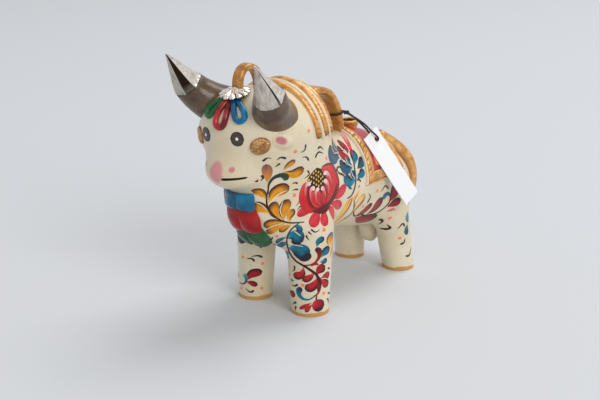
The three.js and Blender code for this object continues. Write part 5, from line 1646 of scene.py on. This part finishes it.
# %% Paint the eyes
EYE, EYE_RIM = tone(74, 62, 58), tone(36, 28, 24)
EYES = [
    (1, blob, 4.1, [(6.9, 116.1), (10.9, 116.1), (14.9, 116.1)], [EYE_RIM]),
    (2, blob, 3.6, [(7.4, 116.1), (10.9, 116.1), (14.4, 116.1)], [EYE]),
    (3, blob, 0.95, [(10.1, 116.2), (10.9, 116.2), (11.8, 116.2)], [WHITE]),
    (1, blob, 4.2, [(-17.4, 115.2), (-12.8, 115.2), (-8.2, 115.2)], [EYE_RIM]),
    (2, blob, 3.7, [(-16.9, 115.2), (-12.8, 115.2), (-8.7, 115.2)], [EYE]),
    (3, blob, 0.95, [(-13.6, 115), (-12.7, 115), (-11.8, 115)], [WHITE]),
]
paint_motif("eyes", face_sheet, EYES)

# %% [markdown]
# ## Saddle flowers
# The red field carries a blue round in a white ring, orange roses of five presses of the brush,
# and a few pale and dark leaves between them. The same strokes are repeated on the other side.

# %% Paint the saddle
ORANGE, ORANGE_LIGHT, SADDLE_DARK = tone(232, 110, 50), tone(248, 170, 110), tone(110, 24, 26)
SADDLE_BLUE = tone(70, 100, 165)


def rose(x, y, size):
    rows = [(1, blob, size, [(x - size, y), (x, y), (x + size, y)], [ORANGE])]
    for turn in range(5):
        angle = turn * 2 * math.pi / 5 + 0.4
        outer = (x + math.cos(angle) * size * 1.05, y + math.sin(angle) * size * 1.05)
        rows.append((2, petal, size * 0.42, [(x, y), outer], [RED, ORANGE_LIGHT]))
    return rows + dots([(x, y)], RED_DEEP, size * 0.28, 3)


def medal(place):
    return (dots([place], WHITE, 4.4) + dots([place], SADDLE_BLUE, 3.6, 2)
            + dots([place], WHITE, 1.2, 3))


SADDLE_PAINT = []
for side in (1, -1):
    SADDLE_PAINT += medal((side * 19, 7.5))
    SADDLE_PAINT += rose(side * 26.5, 6.2, 3.6) + rose(side * 27, 16.5, 3.2) + rose(side * 21.5, 25, 3.4)
    SADDLE_PAINT += rose(side * 11, 27, 2.8)
    SADDLE_PAINT += [
        (1, petal, 1.3, [(side * 29, 12), (side * 24, 12.6), (side * 20, 14.6)], [SADDLE_DARK, RED_DEEP]),
        (1, petal, 1.2, [(side * 14, 12), (side * 13, 18), (side * 15.6, 22)], [SADDLE_DARK, ROSE]),
        (1, petal, 1.2, [(side * 12.6, 3), (side * 15.6, 3.4), (side * 18.4, 2)], [ROSE, WHITE]),
        (1, leaf, 0.8, [(side * 28.4, 23), (side * 27, 26), (side * 27.4, 29)], [WHITE, ROSE]),
    ]
paint_motif("saddle_flowers", saddle_sheet, SADDLE_PAINT, slot="saddle_red")

# %% [markdown]
# ## Finishes
# A finish here is glaze on clay: a colour that pools and thins, a slight unevenness of the
# surface, and a gloss. Every pattern is computed from the piece's own coordinates, or from the
# numbers kept on its points (shade, lip and paint), so it stays with the piece from any side.

# %% Small tools for finishes
def new_finish(name, roughness, coat=0.0, metallic=0.0, specular=0.5):
    finish = bpy.data.materials.get(name) or bpy.data.materials.new(name)
    finish.use_nodes = True
    shader = finish.node_tree.nodes["Principled BSDF"]
    shader.inputs["Roughness"].default_value = roughness
    shader.inputs["Coat Weight"].default_value = coat
    shader.inputs["Coat Roughness"].default_value = 0.08
    shader.inputs["Metallic"].default_value = metallic
    shader.inputs["Specular IOR Level"].default_value = specular
    return finish.node_tree, shader


def wired(tree, kind, settings, inputs):
    """Add a node whose inputs are plain values or other nodes' outputs."""
    node = tree.nodes.new(kind)
    for name, value in settings.items():
        setattr(node, name, value)
    for name, value in inputs.items():
        if isinstance(value, bpy.types.NodeSocket):
            tree.links.new(value, node.inputs[name])
        else:
            node.inputs[name].default_value = value
    return node


def own_place(tree):
    return tree.nodes.new("ShaderNodeTexCoord").outputs["Object"]


def grain(tree, size, detail=3.0, stretch=(1, 1, 1), place=None):
    """Soft noise from 0 to 1 with grains of about that size in millimetres."""
    moved = wired(tree, "ShaderNodeMapping", {}, {"Vector": place or own_place(tree), "Scale": stretch})
    return wired(tree, "ShaderNodeTexNoise", {}, {"Vector": moved.outputs["Vector"], "Scale": 1 / (size * MM),
                                                  "Detail": detail}).outputs["Fac"]


def kept(tree, name):
    return wired(tree, "ShaderNodeAttribute", {"attribute_name": name}, {}).outputs["Fac"]


def between(tree, value, low, high, top=1.0):
    """0 below low, up to top above high."""
    return wired(tree, "ShaderNodeMapRange", {}, {"Value": value, "From Min": low, "From Max": high,
                                                  "To Max": top}).outputs["Result"]


def summed(tree, first, second, operation="ADD"):
    return wired(tree, "ShaderNodeMath", {"operation": operation}, {0: first, 1: second}).outputs[0]


def mixed(tree, share, first, second, blend="MIX"):
    first = first if isinstance(first, bpy.types.NodeSocket) else (*first, 1)
    second = second if isinstance(second, bpy.types.NodeSocket) else (*second, 1)
    return wired(tree, "ShaderNodeMix", {"data_type": "RGBA", "blend_type": blend},
                 {0: share, 6: first, 7: second}).outputs[2]


def clouded(tree, clouds, low, high, first, second, top=1.0):
    """Clouds of the second colour over the first: clouds is their size in mm and their detail."""
    return mixed(tree, between(tree, grain(tree, *clouds), low, high, top), first, second)


def colour_with(tree, shader, colour):
    tree.links.new(colour, shader.inputs["Base Color"])


def roughen(tree, shader, height, depth):
    """Bump the surface by a height from 0 to 1 over that depth in millimetres."""
    bump = wired(tree, "ShaderNodeBump", {}, {"Height": height, "Strength": 0.8, "Distance": depth * MM})
    tree.links.new(bump.outputs["Normal"], shader.inputs["Normal"])


# %% [markdown]
# ## Floor and light
# A pale seamless floor and soft light, as for a catalogue picture. One large soft lamp hangs
# over and behind the bull, another stands to the right, and the pale world fills the shadows.
# The lens and the reflections see the floor's own tone in the world.

# %% Floor
FLOOR_TONE = (0.685, 0.705, 0.735)


def plain_floor():
    let_go()
    bpy.ops.mesh.primitive_plane_add(size=6)
    floor = named(bpy.context.object, "floor")
    _, shader = new_finish("floor", 0.9, specular=0.1)
    shader.inputs["Base Color"].default_value = (*FLOOR_TONE, 1)
    floor.data.materials.append(bpy.data.materials["floor"])


plain_floor()

# %% World and lamps
LIT_FROM = Vector((0, -0.02, 0.08))
WORLD_LIGHT = 0.48


def add_lamp(name, place, size, watts):
    data = bpy.data.lights.new(name, "AREA")
    data.shape = "DISK"
    data.size = size
    data.energy = watts
    lamp = bpy.data.objects.new(name, data)
    lamp.location = place
    lamp.rotation_euler = (LIT_FROM - Vector(place)).to_track_quat("-Z", "Y").to_euler()
    bpy.context.scene.collection.objects.link(lamp)


def pale_world():
    world = bpy.data.worlds.new("studio")
    bpy.context.scene.world = world
    world.use_nodes = True
    tree = world.node_tree
    light = tree.nodes["Background"]
    light.inputs["Color"].default_value = (1, 1, 1, 1)
    light.inputs["Strength"].default_value = WORLD_LIGHT
    seen = wired(tree, "ShaderNodeBackground", {}, {"Color": (*FLOOR_TONE, 1)})
    path = tree.nodes.new("ShaderNodeLightPath")
    is_seen = path.outputs["Is Camera Ray"]
    for ray in ("Is Glossy Ray", "Is Transmission Ray"):
        is_seen = wired(tree, "ShaderNodeMath", {"operation": "ADD", "use_clamp": True},
                        {0: is_seen, 1: path.outputs[ray]}).outputs[0]
    choice = wired(tree, "ShaderNodeMixShader", {},
                   {0: is_seen, 1: light.outputs[0], 2: seen.outputs[0]})
    tree.links.new(choice.outputs[0], tree.nodes["World Output"].inputs["Surface"])


pale_world()
add_lamp("overhead", (0.3, 1.7, 3.4), 2.4, 58)
add_lamp("side", (3.2, -1.2, 2.0), 2.2, 64)
bpy.context.scene.view_settings.view_transform = "Standard"
print("two lamps and a pale world")

# %% [markdown]
# ## Glazes, metal, cord and card
# The cream clay carries the pink nose and the gold foot bands as soft-edged glaze. The gold goes
# darker where a crease keeps its glaze, gold and the coloured glazes carry painted shade on
# undersides and in hollows, the metal is scratched and tarnished, with painted reflections on dark
# facets and painted shade in its folds, and the brush strokes bring their own colours with them.

# %% Cream clay
CREAM, CREAM_WARM, CREAM_SPECK = tone(228, 216, 190), tone(219, 203, 170), tone(150, 128, 98)
EAR_PINK, FOOT_GOLD = tone(196, 112, 114), tone(194, 146, 78)
NOSE_PINK, NOSTRIL = tone(218, 146, 146), tone(208, 130, 128)
FACE_SPOTS = [
    ((-0.2, -92, 96.4), (4.7, 8, 6.5), 0.35, NOSE_PINK),
    ((9.2, -88.3, 98.8), (1.6, 3, 1.6), 0.5, NOSTRIL),
    ((-11.5, -87, 98.8), (1.6, 3, 1.6), 0.5, NOSTRIL),
]
FOOT_BAND_TOP = 2.4


def soft_spot(tree, centre, half, soft):
    """1 inside a soft-edged ball round a place, both in millimetres, and 0 outside it."""
    moved = wired(tree, "ShaderNodeMapping", {"vector_type": "TEXTURE"}, {
        "Vector": own_place(tree), "Location": Vector(centre) * MM, "Scale": Vector(half) * MM})
    away = wired(tree, "ShaderNodeVectorMath", {"operation": "LENGTH"}, {0: moved.outputs["Vector"]})
    return between(tree, away.outputs["Value"], 1 + soft / 2, 1 - soft / 2)


def cream_clay():
    tree, shader = new_finish("clay_cream", 0.32, coat=0.25)
    colour = clouded(tree, (24, 5), 0.38, 0.66, CREAM_WARM, CREAM)
    colour = clouded(tree, (1.5, 2), 0.68, 0.76, colour, CREAM_SPECK, 0.45)
    colour = mixed(tree, kept(tree, "shade"), colour, EAR_PINK)
    for place, half, soft, pink in FACE_SPOTS:
        colour = mixed(tree, soft_spot(tree, place, half, soft), colour, pink)
    height = wired(tree, "ShaderNodeSeparateXYZ", {}, {0: own_place(tree)}).outputs["Z"]
    wavy = summed(tree, height, between(tree, grain(tree, 7, 1), 0.3, 0.7, 1.1 * MM))
    band = between(tree, wavy, (FOOT_BAND_TOP + 0.8) * MM, (FOOT_BAND_TOP + 0.6) * MM)
    colour = mixed(tree, band, colour, FOOT_GOLD)
    colour_with(tree, shader, colour)
    surface = summed(tree, grain(tree, 9, 3), summed(tree, grain(tree, 1.1, 2), 0.25, "MULTIPLY"))
    roughen(tree, shader, surface, 0.5)


# Painted shade: the faces inside the mouth slit and the bore are dark.
def painted_shade_in_cuts():
    tree, shader = new_finish("cut_painted_shade", 0.6)
    colour_with(tree, shader, mixed(tree, grain(tree, 2), tone(44, 30, 22), tone(74, 54, 40)))


cream_clay()
painted_shade_in_cuts()

# %% Gold glaze
GOLD, GOLD_LIGHT, GOLD_DEEP, GOLD_DARK = (tone(196, 132, 60), tone(232, 178, 108), tone(150, 90, 30),
                                          tone(74, 40, 14))


def gold_glaze(name, full, light):
    tree, shader = new_finish(name, 0.34, coat=0.25)
    colour = clouded(tree, (4.5, 4), 0.36, 0.64, full, light)
    # The kept shade darkens the gold: glaze pooled in nicks, pleats and veins, and painted shade on
    # undersides, inner faces, low edges and inside the spout.
    shade = kept(tree, "shade")
    colour = mixed(tree, between(tree, shade, 0.05, 0.55), colour, GOLD_DEEP)
    colour = mixed(tree, between(tree, shade, 0.6, 1.0), colour, GOLD_DARK)
    lip = kept(tree, "lip")
    colour = mixed(tree, lip, colour, CREAM)
    colour_with(tree, shader, colour)
    tree.links.new(between(tree, lip, 1, 0, 0.35), shader.inputs["Metallic"])
    roughen(tree, shader, grain(tree, 1.6, 4), 0.22)


gold_glaze("clay_gold", GOLD, GOLD_LIGHT)
gold_glaze("forehead_handle_gold", tone(158, 102, 40), tone(204, 146, 76))
gold_glaze("back_handle_gold", tone(176, 116, 48), tone(218, 160, 88))
gold_glaze("medallion_gold", tone(150, 104, 56), tone(202, 154, 98))

# %% Coloured glazes
# Full, pooled and thin tones; the pooled tone is also the painted shade under the ribbons.
GLAZES = {
    "ribbon_green": (tone(40, 104, 58), tone(18, 54, 30), tone(86, 146, 90)),
    "ribbon_red": (tone(190, 48, 54), tone(108, 18, 26), tone(214, 100, 98)),
    "ribbon_blue": (tone(0, 132, 180), tone(0, 92, 134), tone(70, 174, 204)),
    "dewlap_blue": (tone(0, 112, 150), tone(0, 86, 118), tone(44, 150, 184)),
    "dewlap_red": (tone(166, 16, 20), tone(140, 6, 10), tone(190, 44, 48)),
    "dewlap_green": (tone(26, 80, 42), tone(16, 60, 32), tone(48, 104, 60)),
}


def coloured_glaze(name, full, pooled_and_shade, thin):
    tree, shader = new_finish(name, 0.26, coat=0.25, specular=0.3)
    cloud = grain(tree, 13, 1.5)
    colour = mixed(tree, between(tree, cloud, 0.36, 0.5), pooled_and_shade, full)
    colour = mixed(tree, between(tree, cloud, 0.54, 0.72, 0.85), colour, thin)
    # Painted shade: the ribbons' undersides take the pooled tone.
    colour = mixed(tree, kept(tree, "shade"), colour, pooled_and_shade)
    colour_with(tree, shader, colour)
    roughen(tree, shader, grain(tree, 8, 2), 0.3)


for glaze_name, tones in GLAZES.items():
    coloured_glaze(glaze_name, *tones)

# %% Saddle red, and the dark glaze of the horns
def saddle_red():
    tree, shader = new_finish("saddle_red", 0.42, coat=0.2)
    colour = clouded(tree, (5, 5), 0.36, 0.64, tone(150, 30, 28), tone(196, 54, 46))
    colour = clouded(tree, (1.3, 2), 0.62, 0.74, colour, tone(96, 20, 22), 0.6)
    colour_with(tree, shader, colour)
    roughen(tree, shader, grain(tree, 1.2, 3), 0.35)


def horn_glaze():
    tree, shader = new_finish("horn_glaze", 0.3, coat=0.25, specular=0.35)
    colour = clouded(tree, (9, 4), 0.35, 0.65, tone(74, 56, 42), tone(106, 86, 66))
    colour = clouded(tree, (13, 2), 0.50, 0.64, colour, tone(88, 64, 22), 0.8)
    colour_with(tree, shader, colour)
    roughen(tree, shader, grain(tree, 6, 2), 0.5)


saddle_red()
horn_glaze()

# %% Pressed metal
def pressed_metal():
    tree, shader = new_finish("silver", 0.2, metallic=1.0)
    scratch = grain(tree, 2.2, 4, stretch=(2.5, 1, 0.5))
    colour = mixed(tree, between(tree, scratch, 0.3, 0.6), tone(222, 208, 192), tone(252, 244, 232))
    colour = clouded(tree, (5, 5), 0.5, 0.7, colour, tone(128, 96, 76), 0.4)
    # Painted reflection and shade: the dark facets and fold of the tips, and the petal gaps and underside of
    # the flower.
    colour = mixed(tree, kept(tree, "shade"), colour, tone(52, 40, 32))
    colour_with(tree, shader, colour)
    roughen(tree, shader, scratch, 0.12)


pressed_metal()

# %% Cord and card
def dark_cord():
    tree, shader = new_finish("cord", 0.75)
    fibre = grain(tree, 0.5, 3)
    colour = mixed(tree, between(tree, fibre, 0.3, 0.7), tone(30, 27, 26), tone(62, 56, 52))
    # Painted shade: darker between the plies.
    shade_between_plies = between(tree, kept(tree, "shade"), 0.5, 1.0, 0.7)
    colour_with(tree, shader, mixed(tree, shade_between_plies, colour, tone(16, 14, 14)))
    roughen(tree, shader, fibre, 0.15)


def white_card():
    tree, shader = new_finish("card", 0.55)
    fibre = grain(tree, 0.9, 5, stretch=(1, 3, 1))
    colour = mixed(tree, between(tree, fibre, 0.35, 0.65), tone(240, 240, 240), tone(248, 248, 248))
    colour_with(tree, shader, colour)
    roughen(tree, shader, fibre, 0.03)


dark_cord()
white_card()

# %% Brush strokes
def brush_paint():
    """The colours kept on the strokes, with the streaks that the bristles leave along them."""
    tree, shader = new_finish("brush_paint", 0.3, coat=0.1, specular=0.35)
    paint = wired(tree, "ShaderNodeAttribute", {"attribute_name": "paint"}, {}).outputs["Color"]
    grid = tree.nodes.new("ShaderNodeTexCoord").outputs["UV"]
    streak = grain(tree, 1000, 3, stretch=(1.6, 11, 1), place=grid)
    colour = mixed(tree, between(tree, streak, 0.54, 0.72, 0.5), paint, (1, 0.96, 0.9), "SOFT_LIGHT")
    colour = mixed(tree, between(tree, streak, 0.47, 0.30, 0.75), colour, tone(140, 110, 110), "MULTIPLY")
    colour_with(tree, shader, colour)
    roughen(tree, shader, streak, 0.12)


brush_paint()

# %% Dress every piece
for piece, finish_name in dressed:
    if piece is clay_skin:
        piece.data.materials[0] = bpy.data.materials["clay_cream"]
        piece.data.materials[1] = bpy.data.materials["cut_painted_shade"]
    else:
        piece.data.materials.clear()
        piece.data.materials.append(bpy.data.materials[finish_name])
print(len(dressed), "pieces wear", len({name for _, name in dressed}), "finishes")
